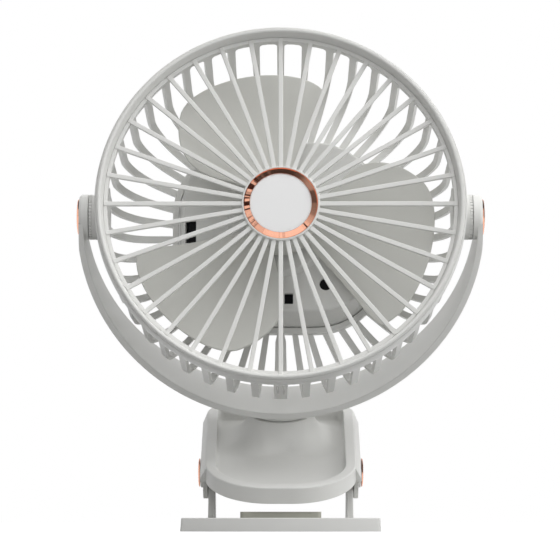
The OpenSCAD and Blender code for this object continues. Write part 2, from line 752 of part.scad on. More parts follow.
module motor_housing()
    color(body_colour) in_head() difference() {
        union() {
            difference() {
                at_depth(case_end)
                    tapered_slab(case_x, case_y, case_r, case_r - case_taper, case_depth);
                at_depth(case_end + 0.01)
                    tapered_slab(case_x, case_y, case_r - case_wall,
                        case_r - case_taper - case_wall, case_depth - case_wall);
            }
            at_depth(case_front) cylinder(r1 = motor_boss_r, r2 = motor_boss_r - 2,
                h = motor_boss_h);
            at_screws() at_depth(case_end) cylinder(r = screw_r + 1.9, h = screw_post_l);
        }
        at_depth(case_front + case_wall + cut)
            cylinder(r = motor_r + gap / 2, h = case_wall + cut + motor_boss_h - 1.2);
        at_depth(case_front + cut) cylinder(r = 6, h = motor_boss_h + 2 * cut);
        at_depth(case_front + case_wall + cut)
            linear_extrude(height = case_wall + 2 * cut) case_openings();
        at_screws() at_depth(case_end + cut)
            cylinder(r = screw_r + run_fit, h = screw_post_l + cut - 1);
    }

button_y = 9;
lens_y = -4;
socket_y = -15;
lens_half = 8;

module rear_cover()
    color(body_colour) in_head() at_depth(case_end + cover_t) difference() {
        union() {
            translate([0, 0, 1.5]) slab(case_x, case_y, case_r, cover_t - 1.5);
            tapered_slab(case_x, case_y, case_r - 1.5, case_r, 1.5);
        }
        translate([0, 0, 2.2])
            slab(case_x, case_y, case_r - case_wall, cover_t);
        translate([0, button_y, -cut]) cylinder(r = button_r + gap, h = cover_t);
        translate([0, socket_y, -cut]) slab(3, 0.05, 1.8, cover_t);
        translate([0, lens_y, -cut]) slab(lens_half - 1.2, 0.05, 1.35, cover_t);
        at_screws() translate([0, 0, -cut]) {
            cylinder(r = 3, h = cut + 1);
            cylinder(r = screw_r + run_fit, h = cover_t + 2);
        }
    }

module cover_screws()
    color(steel_colour) in_head() at_screws() at_depth(case_end + cover_t) {
        translate([0, 0, 0.1]) cylinder(r = 2.7, h = 0.9);
        translate([0, 0, 0.1]) cylinder(r = screw_r, h = cover_t + screw_post_l - 2);
    }

motor_front = case_front - motor_boss_h + 1.2;
motor_l = 17;

module motor_can()
    color(steel_colour) in_head() at_depth(motor_front + motor_l) difference() {
        union() {
            cylinder(r = motor_r, h = motor_l - 0.1);
            cylinder(r = 5.4, h = motor_l + 2);
        }
        translate([0, 0, motor_l - 12]) cylinder(r = shaft_r + run_fit, h = 15);
    }

module battery_cells()
    color([0.30, 0.42, 0.36]) in_head() for (s = [-1, 1])
        translate([0, s * cell_y, -cell_depth]) rotate([0, 90, 0]) {
            cylinder(r = cell_r, h = cell_l - 2, center = true);
            translate([0, 0, cell_l / 2 - 1]) cylinder(r = 3, h = 1.5, center = true);
        }

board_depth = case_end - 1.6;
board_t = 1.2;
board_w = 48;
board_h = 36;
board_r = 2;
board_hole_r = 1.6;

module control_board()
    color([0.10, 0.28, 0.18]) in_head() at_depth(board_depth) difference() {
        slab(board_w / 2 - board_r, board_h / 2 - board_r, board_r, board_t);
        both_sides() translate([board_w / 2 - 6, board_h / 2 - 6, -cut])
            cylinder(r = board_hole_r, h = board_t + 2 * cut);
    }

module charge_socket()
    color(steel_colour) in_head() translate([0, socket_y, 0])
        at_depth(case_end + cover_t - 0.8) difference() {
            slab(2.9, 0.05, 1.55, case_end + cover_t - 0.8 - board_depth);
            translate([0, 0, -cut]) slab(2.9, 0.05, 1.2, cut + 4.5);
        }

module indicator_lens()
    color([0.9, 0.95, 0.9, 0.6]) in_head() translate([0, lens_y, 0])
        at_depth(case_end + cover_t - 0.1)
            slab(lens_half - 1.3, 0.05, 1.1, case_end + cover_t - 0.1 - board_depth);

button_back = case_end + cover_t + 1.2;

module power_button()
    color(body_colour) in_head() translate([0, button_y, 0]) at_depth(button_back)
        rotate_extrude() polygon([[0, 0.3], [button_r - 2.5, 0.3], [button_r - 0.6, 0],
            [button_r, 0.6], [button_r, 5.5], [2, 5.5],
            [2, button_back - board_depth - button_travel - gap],
            [0, button_back - board_depth - button_travel - gap]]);

// ---------------------------------------------------------------- rotor (head frame)

hub_len = 17;                                // depth of the blade hub
hub_nose = 17;                               // depth of the hub's nose
span_steps = 14;
chord_steps = 12;
blade_a0 = 102;                              // direction of the first blade
blade_r = cage_r - cage_t - tip_gap;

// Blade outline, as angles either side of its middle line, by radius
function lead_angle(t) = 31 + 19 * sin(180 * pow(t, 0.87));
function trail_angle(t) = -25 - 6.5 * t + 2.5 * pow(t, 9);
function blade_radius(t, u) =
    rotor_hub_r - 2 + (blade_r - rotor_hub_r + 2) * t * (1 - 0.055 * pow(abs(2 * u - 1), 6) * pow(t, 4));
function blade_z(a, t) = blade_pitch * a * PI / 180 + 1.5 * cos(a * 1.6) * t;
function blade_half_t(t, u) = max(0.35, blade_t / 2 * (1 - 0.45 * t) * (1 - pow(2 * u - 1, 4)));

function blade_point(t, u, side) = let (
        a = trail_angle(t) + (lead_angle(t) - trail_angle(t)) * u,
        r = blade_radius(t, u)
    ) [r * cos(a), r * sin(a), blade_z(a, t) + side * blade_half_t(t, u)];

module blade() {
    rows = span_steps + 1;
    cols = chord_steps + 1;
    sheet = rows * cols;
    polyhedron(
        points = [for (side = [1, -1], i = [0:span_steps], j = [0:chord_steps])
            blade_point(i / span_steps, j / chord_steps, side)],
        faces = concat(
            [for (i = [0:span_steps - 1], j = [0:chord_steps - 1], h = [0, 1])
                let (p = i * cols + j)
                    h == 0 ? [p, p + 1, p + cols] : [p + 1, p + cols + 1, p + cols]],
            [for (i = [0:span_steps - 1], j = [0:chord_steps - 1], h = [0, 1])
                let (p = sheet + i * cols + j)
                    h == 0 ? [p, p + cols, p + 1] : [p + 1, p + cols, p + cols + 1]],
            [for (i = [0:span_steps - 1], j = [0, chord_steps]) let (
                    p = i * cols + j, q = p + cols, s = sheet)
                j == 0 ? [p, q, q + s, p + s] : [p, p + s, q + s, q]],
            [for (j = [0:chord_steps - 1], i = [0, span_steps]) let (
                    p = i * cols + j, q = p + 1, s = sheet)
                i == 0 ? [p, p + s, q + s, q] : [p, q, q + s, p + s]]),
        convexity = 6);
}

module fan_blades()
    color(blade_colour) in_head() difference() {
        union() {
            for (i = [0:blade_count - 1])
                rotate([0, 0, blade_a0 + i * 360 / blade_count]) at_depth(blade_depth) blade();
            rotate_extrude() polygon(concat(
                [[0, -hub_nose - hub_len], [rotor_hub_r, -hub_nose - hub_len]],
                arc(rotor_hub_r - 5, -hub_nose - 5, 5, 0, 90, 5),
                [[0, -hub_nose]]));
        }
        at_depth(hub_nose + hub_len + cut) cylinder(r = rotor_hub_r - 2.2, h = hub_len - 4 + cut);
        at_depth(hub_nose + hub_len) cylinder(r = shaft_r + run_fit, h = hub_len + cut);
        at_depth(hub_nose + 1.5) cylinder(r = 5.2, h = 1.5 + cut);
    }

module motor_shaft()
    color(steel_colour) in_head() at_depth(motor_front + 10)
        cylinder(r = shaft_r, h = motor_front + 10 - hub_nose + 0.6);

module blade_nut()
    color(steel_colour) in_head() at_depth(hub_nose + 1.5) difference() {
        cylinder(r = 4.6, h = 2.6, $fn = 6);
        translate([0, 0, -cut]) cylinder(r = shaft_r + run_fit, h = 2.6 + 2 * cut);
    }

foot_plate();
lower_pad();
foot_pads();
hinge_pin();
hinge_caps();
torsion_spring();
upper_jaw();
upper_pad();
swivel_washer();
yoke();
swivel_post();
swivel_nut();
pivot_bolts();
pivot_caps();
trim_ring();
front_grille();
hub_ring();
hub_disc();
rear_cage();
pivot_washers();
motor_housing();
rear_cover();
cover_screws();
motor_can();
battery_cells();
control_board();
charge_socket();
indicator_lens();
power_button();
fan_blades();
motor_shaft();
blade_nut();
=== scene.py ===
"""Portable camping fan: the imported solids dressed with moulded, bevelled pieces and finishes.

Pieces are modelled in millimetres in the frame of the part that carries them, then placed.
"""
import json
import math
import random

import bmesh
import bpy
from mathutils import Matrix, Vector


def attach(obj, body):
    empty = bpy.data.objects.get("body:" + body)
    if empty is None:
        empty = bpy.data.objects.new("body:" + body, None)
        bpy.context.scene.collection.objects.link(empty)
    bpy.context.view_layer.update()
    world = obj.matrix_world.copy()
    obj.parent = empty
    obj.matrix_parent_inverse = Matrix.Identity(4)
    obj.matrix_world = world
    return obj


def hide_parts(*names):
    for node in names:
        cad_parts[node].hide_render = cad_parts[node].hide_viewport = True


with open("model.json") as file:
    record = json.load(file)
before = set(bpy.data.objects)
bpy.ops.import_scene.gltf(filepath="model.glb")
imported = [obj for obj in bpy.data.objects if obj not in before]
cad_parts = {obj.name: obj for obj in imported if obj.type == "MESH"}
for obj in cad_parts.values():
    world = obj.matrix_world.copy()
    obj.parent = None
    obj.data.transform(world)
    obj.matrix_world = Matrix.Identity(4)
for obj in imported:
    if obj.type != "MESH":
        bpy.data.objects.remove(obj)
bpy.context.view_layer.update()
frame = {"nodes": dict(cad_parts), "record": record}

# ------------------------------------------------------------------ sizes, in millimetres

JAW_SLOPE = 23.5
PIN = Vector((0, 18, 29.4))
SWIVEL = Vector((0, 36.7229, 52.7075))
PIVOT = Vector((0, -8.1962, 156.0143))
HEAD_TILT, PIVOT_DEPTH = 12.6, 27.5
PIN_R, CAP_IN, CAP_R, CAP_T = 2.4, 40.45, 7.2, 1.1
COIL_R, WIRE_R, COIL_PITCH, COIL_TURNS = PIN_R + 1.8, 0.8, 1.95, 5
LOWER_LEG, UPPER_LEG = math.radians(15), math.radians(JAW_SLOPE + 1.5)   # slopes of the spring's legs
YOKE_R, YOKE_T, YOKE_W, BOSS_R, NECK_H = 100.95, 3.3, 38.0, 11.25, 11.7
ARM_IN, ARM_OUT, BOSS_OUT, PIVOT_CAP_R, PIVOT_CAP_T = 95.45, 100.15, 93.85, 9.0, 1.4
BOLT_HOLE_R, POST_R, COLLAR_R = 3.05, 7.5, 15.8
RING_R, RING_DEPTH, CAGE_R, CAGE_T, CAGE_DEPTH, CAGE_DRAFT = 91.75, 12.5, 89.5, 2.2, 66.0, 1.2
BAND_FRONT, SLOT_START, SLOT_CORNER, BEND_R, RIBS, RIB_W = 9.1, 15.0, 2.8, 21.0, 44, 3.8
RIB_REACH = 11.5                                          # how far a rib runs in over the back
FUNNEL_R, FLANGE_R, GRILLE_DEPTH = 87.3, 85.3, 5.5
SPOKES, SPOKE_W, SPOKE_T = 36, 2.4, 2.3
HUB_R, HUB_FRONT, HUB_BACK, DISC_R, FACETS = 19.3, 4.6, 10.5, 15.3, 144
CASE_X, CASE_Y, CASE_R = 17.5, 13.0, 34.0
CASE_FRONT, CASE_END, CASE_TAPER, COVER_T = 42.0, 65.0, 2.5, 5.5
CASE_VENTS = ((-45.2, -3, 5.4, 12), (4, -38, 4.3, 5.5), (5, 35, 1.6, 7))  # x, y, width, height
ROUND_VENT, ROUND_VENT_R = Vector((22.5, -30.5, 0)), 3.15
SCREW_AT = Vector((38.5, 33.5, 0))
BLADES, BLADE_START, BLADE_DEPTH, BLADE_PITCH, BLADE_R, BLADE_T = 3, 102, 30.5, 12.0, 76.7, 1.5
ROTOR_HUB_R, HUB_NOSE, HUB_LEN, SHAFT_R, MOTOR_R = 18.0, 17.0, 17.0, 1.6, 17.0
FOOT_W, FOOT_D, FOOT_T, FOOT_FRONT, FOOT_BOW = 98.0, 105.0, 6.6, 45.0, 160.0
WELLS, WELL_R = [(x, y, 0) for x in (-34, 34) for y in (-28.0, 45.0)], 7.0    # for the foot's pads
EAR_R, EAR_T, EAR_OUT, PEG_R, PAD_W, PAD_T = 5.4, 3.4, 36.2, 1.2, 39.6, 3.0
LIP_FRONT, JAW_FRONT, TRAY_DEPTH, FLOOR_T, TRAY_FILLET = 36.0, 79.3, 6.0, 2.2, 1.6
JAW_W, JAW_L, JAW_H, LIP_R, TAIL_R, RIM_W, SKIRT_OUT = 75.0, 110.0, 8.6, 32.0, 8.5, 5.3, 2.65
SKIRT_START, SKIRT_LOW, NUT_R = -53.3, -13.0, 13.5
DOME_R, DOME_TOP_R, DOME_RISE = 33.0, 16.5, 9.0
DOME_FRONT, DOME_SWEEP, DOME_MAX, TRAY_SIDE, TRAY_TAIL = 22.0, 0.0174, 38.0, 32.1, 25.2
PIN_Y, PIN_Z = -26.464, -13.909                           # the pin in the jaw's own frame

MM = Matrix.Scale(0.001, 4)
BASE = MM
JAW = MM @ Matrix.Translation(SWIVEL) @ Matrix.Rotation(math.radians(JAW_SLOPE), 4, "X")
YOKE = MM @ Matrix.Translation(PIVOT) @ Matrix.Rotation(math.radians(JAW_SLOPE), 4, "X")
HEAD = (MM @ Matrix.Translation(PIVOT) @ Matrix.Rotation(math.radians(90 - HEAD_TILT), 4, "X")
        @ Matrix.Translation((0, 0, PIVOT_DEPTH)))
ACROSS = Matrix.Rotation(math.radians(90), 4, "Y")        # turns a lathe's axis to +X
ON_PIVOT = Matrix.Translation((0, 0, -PIVOT_DEPTH)) @ ACROSS              # in the head's frame
SIDEWAYS = Matrix(((0, 0, 1, 0), (1, 0, 0, 0), (0, 1, 0, 0), (0, 0, 0, 1)))   # (y, z) outlines

# ------------------------------------------------------------------ camera

FRAME_W = 280.0                                           # millimetres across the picture
CAMERA_AT = Vector((-0.37, -1620, 5))
LOOK_AT = Vector((-0.37, 0, 125.25))
SENSOR_W = 36

scene = bpy.context.scene
camera_data = bpy.data.cameras.new("camera")
camera = bpy.data.objects.new("camera", camera_data)
scene.collection.objects.link(camera)
camera.location = CAMERA_AT * 0.001
camera.rotation_euler = (LOOK_AT - CAMERA_AT).to_track_quat("-Z", "Y").to_euler()
camera_data.sensor_width = SENSOR_W
camera_data.lens = SENSOR_W * (LOOK_AT - CAMERA_AT).length / FRAME_W
camera_data.clip_start, camera_data.clip_end = 0.05, 20
scene.camera = camera

# ------------------------------------------------------------------ modelling tools


def settle():
    """Leaves edit mode with nothing selected."""
    if bpy.context.object and bpy.context.object.mode != "OBJECT":
        bpy.ops.object.mode_set(mode="OBJECT")
    bpy.ops.object.select_all(action="DESELECT")


def work_on(piece):
    settle()
    piece.select_set(True)
    bpy.context.view_layer.objects.active = piece


def edit(piece, kind="VERT"):
    work_on(piece)
    bpy.ops.object.mode_set(mode="EDIT")
    bpy.ops.mesh.select_mode(type=kind)
    bpy.ops.mesh.select_all(action="SELECT")


def pick(test):
    """Selects the elements that pass the test, in the edit mode's own kind."""
    mesh = bpy.context.edit_object.data
    form = bmesh.from_edit_mesh(mesh)
    kinds = [form.verts, form.edges, form.faces]
    for group in kinds:
        for element in group:
            element.select = False
    kind = kinds[list(bpy.context.tool_settings.mesh_select_mode).index(True)]
    found = [element for element in kind if test(element)]
    for element in found:
        element.select_set(True)
    form.select_flush_mode()
    bmesh.update_edit_mesh(mesh)
    return len(found)


def middle(element):
    return sum((v.co for v in element.verts), Vector()) / len(element.verts)


def sharp(edge, angle):
    return len(edge.link_faces) == 2 and edge.calc_face_angle(0) > math.radians(angle)


def round_edges(piece, width, segments, angle, test=lambda edge: True):
    """Bevels the edges that are sharper than the angle and pass the test."""
    edit(piece, "EDGE")
    if pick(lambda e: sharp(e, angle) and test(e)):
        bpy.ops.mesh.bevel(offset=width, segments=segments, affect="EDGES", clamp_overlap=True)
    settle()


def draw(name, points):
    """A line drawn from point to point, left selected in edit mode."""
    settle()
    bpy.ops.mesh.primitive_plane_add(size=0.01)
    piece = bpy.context.object
    piece.name = piece.data.name = name
    edit(piece)
    bpy.ops.mesh.merge(type="CENTER")
    points = [Vector(p) for p in points]
    bpy.ops.transform.translate(value=points[0])
    for a, b in zip(points, points[1:]):
        bpy.ops.mesh.extrude_region_move(TRANSFORM_OT_translate={"value": b - a})
    bpy.ops.mesh.select_all(action="SELECT")
    return piece


def tidy_mesh(piece, reach=0.004):
    edit(piece)
    bpy.ops.mesh.remove_doubles(threshold=reach)
    bpy.ops.mesh.normals_make_consistent(inside=False)
    settle()


def lathe(name, profile, steps=96):
    """Turns a profile of (radius, height) points about Z."""
    piece = draw(name, [(r, 0, z) for r, z in profile])
    bpy.ops.mesh.spin(steps=steps, angle=math.tau, center=(0, 0, 0), axis=(0, 0, 1))
    settle()
    tidy_mesh(piece)
    return piece


def closed(profile):
    return list(profile) + [profile[0]]


def near(r, z, *steps):
    """Points given by their steps from (r, z)."""
    return [(r + dr, z + dz) for dr, dz in steps]


def rod(r, low, high):
    """Profile of a plain cylinder."""
    return [(0, low), (r, low), (r, high), (0, high)]


def box(x, y, half_x, half_y):
    """Outline of a rectangle about (x, y)."""
    return [(x + half_x, y + half_y), (x - half_x, y + half_y),
            (x - half_x, y - half_y), (x + half_x, y - half_y)]


def plate(name, outline, height, z=0.0):
    """A solid of constant outline, standing from z to z + height."""
    piece = draw(name, [(x, y, z) for x, y in closed(outline)])
    bpy.ops.mesh.remove_doubles(threshold=0.004)
    bpy.ops.mesh.edge_face_add()
    bpy.ops.mesh.extrude_region_move(TRANSFORM_OT_translate={"value": (0, 0, height)})
    settle()
    tidy_mesh(piece)
    return piece


def grid(name, columns, rows):
    """A flat grid whose points run from -1 to 1 in x and y, to be bent into a form."""
    settle()
    bpy.ops.mesh.primitive_grid_add(x_subdivisions=columns, y_subdivisions=rows, size=2)
    piece = bpy.context.object
    piece.name = piece.data.name = name
    return piece


def around(piece, count, start=0.0):
    """Repeats a piece about Z, each copy with its own mesh, as one object."""
    edit(piece)
    if start:
        bpy.ops.transform.rotate(value=-math.radians(start), orient_axis="Z",
                                 center_override=(0, 0, 0))
    bpy.ops.mesh.spin(steps=count - 1, dupli=True, angle=math.tau * (count - 1) / count,
                      center=(0, 0, 0), axis=(0, 0, 1))
    settle()
    return piece


def moved(piece, matrix):
    """Moves, turns or scales a piece and leaves its object at the origin."""
    work_on(piece)
    piece.matrix_world = matrix
    bpy.ops.object.transform_apply(location=True, rotation=True, scale=True)
    if matrix.determinant() < 0:
        edit(piece)
        bpy.ops.mesh.flip_normals()
        settle()
    return piece


def joined(name, pieces):
    settle()
    for piece in pieces:
        piece.select_set(True)
    bpy.context.view_layer.objects.active = pieces[0]
    bpy.ops.object.join()
    pieces[0].name = pieces[0].data.name = name
    return pieces[0]


def both_sides(name, piece, axis=(1, 0, 0)):
    """The piece and its mirror image across the axis, as one piece."""
    work_on(piece)
    bpy.ops.object.duplicate()
    return joined(name, [piece, moved(bpy.context.object, Matrix.Scale(-1, 4, axis))])


def modify(piece, kind, **settings):
    work_on(piece)
    modifier = piece.modifiers.new(kind.lower(), kind)
    for key, value in settings.items():
        setattr(modifier, key, value)
    bpy.ops.object.modifier_apply(modifier=modifier.name)
    return piece


def carve(piece, cutter):
    modify(piece, "BOOLEAN", object=cutter, operation="DIFFERENCE", solver="EXACT")
    bpy.data.objects.remove(cutter)
    return piece


def finish(piece, matrix, body, slot, nodes=(), angle=34):
    """Places a piece and gives it its body, finish and the nodes that it stands for."""
    moved(piece, matrix)
    work_on(piece)
    bpy.ops.object.shade_smooth_by_angle(angle=math.radians(angle))
    modify(piece, "WEIGHTED_NORMAL", keep_sharp=True, weight=80)
    piece.data.materials.clear()
    piece.data.materials.append(SLOTS[slot])
    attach(piece, body)
    if nodes:
        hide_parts(*nodes)


def arc(cx, cy, r, start, end, steps):
    """Points on an arc, angles in degrees."""
    turns = [math.radians(start + (end - start) * i / steps) for i in range(steps + 1)]
    return [(cx + r * math.cos(t), cy + r * math.sin(t)) for t in turns]


def rounded(x, y, r, steps):
    """Outline of a rectangle with corners of radius r about centres at (+-x, +-y)."""
    return (arc(x, y, r, 0, 90, steps) + arc(-x, y, r, 90, 180, steps)
            + arc(-x, -y, r, 180, 270, steps) + arc(x, -y, r, 270, 360, steps))

# ------------------------------------------------------------------ finishes


COLOUR, NUMBER, VECTOR = "NodeSocketColor", "NodeSocketFloat", "NodeSocketVector"


def node_group(name, inputs, outputs):
    group = bpy.data.node_groups.new(name, "ShaderNodeTree")
    for label, kind, value in inputs:
        socket = group.interface.new_socket(name=label, in_out="INPUT", socket_type=kind)
        socket.default_value = value
    for label, kind in outputs:
        group.interface.new_socket(name=label, in_out="OUTPUT", socket_type=kind)
    return (group, group.nodes.new("NodeGroupInput").outputs,
            group.nodes.new("NodeGroupOutput"))


def feed(tree, node, links):
    """Gives a node's inputs what they take: (input, output socket or value)."""
    for socket, source in links:
        if isinstance(source, bpy.types.NodeSocket):
            tree.links.new(source, node.inputs[socket])
        else:
            node.inputs[socket].default_value = source


def add(tree, kind, links=(), **settings):
    """The outputs of a new node with these inputs and settings."""
    node = tree.nodes.new(kind)
    for key, value in settings.items():
        setattr(node, key, value)
    feed(tree, node, links)
    return node.outputs


def maths(tree, operation, a, b, clamp=False):
    return add(tree, "ShaderNodeMath", [(0, a), (1, b)], operation=operation, use_clamp=clamp)[0]


def noise(tree, place, scale, *more):
    """The value of a noise texture at a place."""
    return add(tree, "ShaderNodeTexNoise", [("Vector", place), ("Scale", scale), *more])["Fac"]


def ranged(tree, value, start, end, low=0.0, high=1.0):
    """The value's way from start to end, as a number from low to high."""
    return add(tree, "ShaderNodeMapRange", [
        ("Value", value), ("From Min", start), ("From Max", end), ("To Min", low),
        ("To Max", high)])["Result"]


def tinted(tree, colour, level):
    return add(tree, "ShaderNodeVectorMath", [(0, colour), (3, level)], operation="SCALE")["Vector"]


def bumped(tree, strength, distance, height):
    return add(tree, "ShaderNodeBump", [("Strength", strength), ("Distance", distance),
                                        ("Height", height)])["Normal"]


def build_moulded():
    """Fine moulded grain: a mottled colour, uneven gloss and a spark-eroded surface."""
    group, inn, out = node_group(
        "moulded_surface",
        [("Colour", COLOUR, (0.7, 0.7, 0.7, 1)), ("Mottle", NUMBER, 0.03), ("Gloss", NUMBER, 0.4),
         ("Unevenness", NUMBER, 0.06), ("Grain", NUMBER, 0.1), ("Grain Size", NUMBER, 2600.0)],
        [("Colour", COLOUR), ("Roughness", NUMBER), ("Normal", VECTOR)])
    place = add(group, "ShaderNodeTexCoord")["Object"]
    broad = noise(group, place, 38.0, ("Detail", 3.0), ("Roughness", 0.55))
    fine = noise(group, place, inn["Grain Size"], ("Detail", 2.0))
    swing = maths(group, "SUBTRACT", broad, 0.5)
    level = maths(group, "ADD", maths(group, "MULTIPLY", swing, inn["Mottle"]), 1.0)
    rough = maths(group, "MULTIPLY", swing, inn["Unevenness"])
    feed(group, out, [("Colour", tinted(group, inn["Colour"], level)),
                      ("Roughness", maths(group, "ADD", rough, inn["Gloss"], clamp=True)),
                      ("Normal", bumped(group, inn["Grain"], 0.00005, fine))])
    return group


def build_handled():
    """Faint rubbing and dust: pale where a surface looks up, duller in soft patches."""
    group, inn, out = node_group(
        "handling_marks",
        [("Colour", COLOUR, (0.5, 0.5, 0.5, 1)), ("Roughness", NUMBER, 0.4),
         ("Dust", NUMBER, 0.03), ("Smears", NUMBER, 0.08)],
        [("Colour", COLOUR), ("Roughness", NUMBER)])
    place = add(group, "ShaderNodeTexCoord")["Object"]
    mask = ranged(group, noise(group, place, 14.0, ("Detail", 4.0), ("Distortion", 0.6)),
                  0.45, 0.75)
    up = add(group, "ShaderNodeSeparateXYZ",
             [("Vector", add(group, "ShaderNodeNewGeometry")["Normal"])])["Z"]
    lying = maths(group, "MULTIPLY", maths(group, "MAXIMUM", up, 0.0), mask)
    amount = maths(group, "MULTIPLY", lying, inn["Dust"], clamp=True)
    dusty = add(group, "ShaderNodeMix", [(0, amount), (6, inn["Colour"]),
                                         (7, (0.78, 0.76, 0.72, 1))], data_type="RGBA")[2]
    dull = maths(group, "MULTIPLY", mask, inn["Smears"])
    feed(group, out, [("Colour", dusty),
                      ("Roughness", maths(group, "ADD", dull, inn["Roughness"], clamp=True))])
    return group


def build_turned():
    """Fine scratches that run round an axis, as a lathe or a polishing wheel leaves them."""
    group, inn, out = node_group(
        "turned_metal",
        [("Colour", COLOUR, (0.8, 0.5, 0.4, 1)), ("Scratches", NUMBER, 0.1),
         ("Gloss", NUMBER, 0.12), ("Stretch", VECTOR, (40, 3000, 3000))],
        [("Colour", COLOUR), ("Roughness", NUMBER), ("Normal", VECTOR)])
    place = add(group, "ShaderNodeTexCoord")["Object"]
    along = add(group, "ShaderNodeVectorMath", [(0, place), (1, inn["Stretch"])],
                operation="MULTIPLY")["Vector"]
    lines = noise(group, along, 1.0, ("Detail", 3.0))
    scratched = maths(group, "MULTIPLY", lines, inn["Scratches"])
    shade = maths(group, "ADD", scratched, 0.95)
    feed(group, out, [("Colour", tinted(group, inn["Colour"], shade)),
                      ("Roughness", maths(group, "ADD", scratched, inn["Gloss"], clamp=True)),
                      ("Normal", bumped(group, inn["Scratches"], 0.00003, lines))])
    return group


MOULDED, HANDLED, TURNED = build_moulded(), build_handled(), build_turned()


def surface(name, **shader):
    """A new material and its Principled shader, with constants on the shader's own sockets."""
    material = bpy.data.materials.new(name)
    material.use_nodes = True
    tree = material.node_tree
    principled = tree.nodes["Principled BSDF"]
    for socket, value in shader.items():
        principled.inputs[socket.replace("_", " ")].default_value = value
    return material, tree, principled


def plastic(name, colour, gloss=0.42, mottle=0.03, grain=0.12, dust=0.02, size=2600.0, **shader):
    material, tree, principled = surface(name, **shader)
    moulded = add(tree, "ShaderNodeGroup", [
        ("Colour", (*colour, 1)), ("Mottle", mottle), ("Gloss", gloss), ("Grain", grain),
        ("Grain Size", size)], node_tree=MOULDED)
    handled = add(tree, "ShaderNodeGroup", [
        ("Colour", moulded["Colour"]), ("Roughness", moulded["Roughness"]), ("Dust", dust)],
        node_tree=HANDLED)
    feed(tree, principled, [("Base Color", handled["Colour"]),
                            ("Roughness", handled["Roughness"]), ("Normal", moulded["Normal"])])
    return material


def metal(name, colour, gloss, scratches=0.12):
    material, tree, principled = surface(name, Metallic=1.0)
    turned = add(tree, "ShaderNodeGroup", [
        ("Colour", (*colour, 1)), ("Scratches", scratches), ("Gloss", gloss)], node_tree=TURNED)
    feed(tree, principled, [("Base Color", turned["Colour"]),
                            ("Roughness", turned["Roughness"]), ("Normal", turned["Normal"])])
    return material


SLOTS = {
    "body": plastic("shell_plastic", (0.72, 0.72, 0.70)),
    "blade": plastic("blade_plastic", (0.66, 0.66, 0.625), gloss=0.38),
    "disc": plastic("disc_plastic", (0.83, 0.83, 0.83), gloss=0.5, grain=0.06),
    "button": plastic("button_plastic", (0.45, 0.45, 0.44), gloss=0.35),
    # the swivel washer's dark plastic, also used for the sheet of painted shade inside the motor case
    "dark_plastic": plastic("dark_plastic", (0.012, 0.012, 0.013), gloss=0.8, dust=0.0,
                            Specular_IOR_Level=0.1),
    "grip_rubber": plastic("grip_rubber", (0.36, 0.36, 0.31), gloss=0.72, grain=0.5,
                           size=1400.0, mottle=0.12, dust=0.12),
    "rose_metal": metal("rose_gold", (0.80, 0.41, 0.285), gloss=0.13),
    "steel": metal("zinc_plate", (0.55, 0.56, 0.58), gloss=0.3, scratches=0.25),
    "cell_wrap": plastic("cell_wrap", (0.05, 0.13, 0.09), gloss=0.3),
    "board": plastic("solder_mask", (0.01, 0.07, 0.03), gloss=0.28),
    "lens": plastic("lens_plastic", (0.75, 0.8, 0.76), gloss=0.25, Transmission_Weight=0.3)}

for part in frame["record"]["subparts"]:
    finishes = frame["nodes"][part["node"]].data.materials
    if finishes:
        finishes[0] = SLOTS[part["material_slot"]]
    else:
        finishes.append(SLOTS[part["material_slot"]])

# ------------------------------------------------------------------ floor, backdrop and light

FLOOR_W, LAMP_DISTANCE, LAMP_AIM = 12, 1.6, Vector((0, 0, 0.13))          # metres


def build_world():
    world = bpy.data.worlds.new("studio")
    scene.world = world
    world.use_nodes = True
    tree = world.node_tree
    tree.nodes.clear()
    way = add(tree, "ShaderNodeSeparateXYZ",
              [("Vector", add(tree, "ShaderNodeTexCoord")["Generated"])])
    # the fill is dim below and a little stronger from the right
    fill = maths(tree, "MULTIPLY", ranged(tree, way["Z"], -0.5, 0.6, 0.28, 0.46),
                 ranged(tree, way["X"], -1.0, 1.0, 0.6, 1.3))
    # polished metal mirrors a dim ceiling, right wall and floor, and a bright left side
    reflection = ranged(tree, way["Z"], 0.66, 0.8, 1.0, 0.06)
    for axis, start, end, low, high in (("Z", -0.75, 0.1, 0.4, 1.0), ("X", 0.42, 0.6, 1.0, 0.12),
                                        ("X", -0.75, -0.45, 1.15, 1.0)):
        reflection = maths(tree, "MULTIPLY", reflection,
                           ranged(tree, way[axis], start, end, low, high))
    path = add(tree, "ShaderNodeLightPath")
    carried = add(tree, "ShaderNodeMix", [(0, path["Is Glossy Ray"]), (2, fill), (3, reflection)],
                  data_type="FLOAT")[0]
    straight = maths(tree, "MAXIMUM", path["Is Camera Ray"], path["Is Transmission Ray"])
    level = add(tree, "ShaderNodeMix", [(0, straight), (2, carried), (3, 1.0)],
                data_type="FLOAT")[0]
    light = add(tree, "ShaderNodeBackground", [("Color", (1, 1, 1, 1)), ("Strength", level)])[0]
    add(tree, "ShaderNodeOutputWorld", [("Surface", light)])


def softbox(name, watts, width, height, azimuth, elevation):
    """An area lamp, placed by its direction from the fan: azimuth 0 is the front, 90 the right."""
    data = bpy.data.lights.new(name, "AREA")
    data.shape, data.size, data.size_y, data.energy = "RECTANGLE", width, height, watts
    lamp = bpy.data.objects.new(name, data)
    lamp.visible_glossy = False
    scene.collection.objects.link(lamp)
    a, e = math.radians(azimuth), math.radians(elevation)
    way = Vector((math.sin(a) * math.cos(e), -math.cos(a) * math.cos(e), math.sin(e)))
    lamp.location = LAMP_AIM + way * LAMP_DISTANCE
    lamp.rotation_euler = way.to_track_quat("Z", "Y").to_euler()


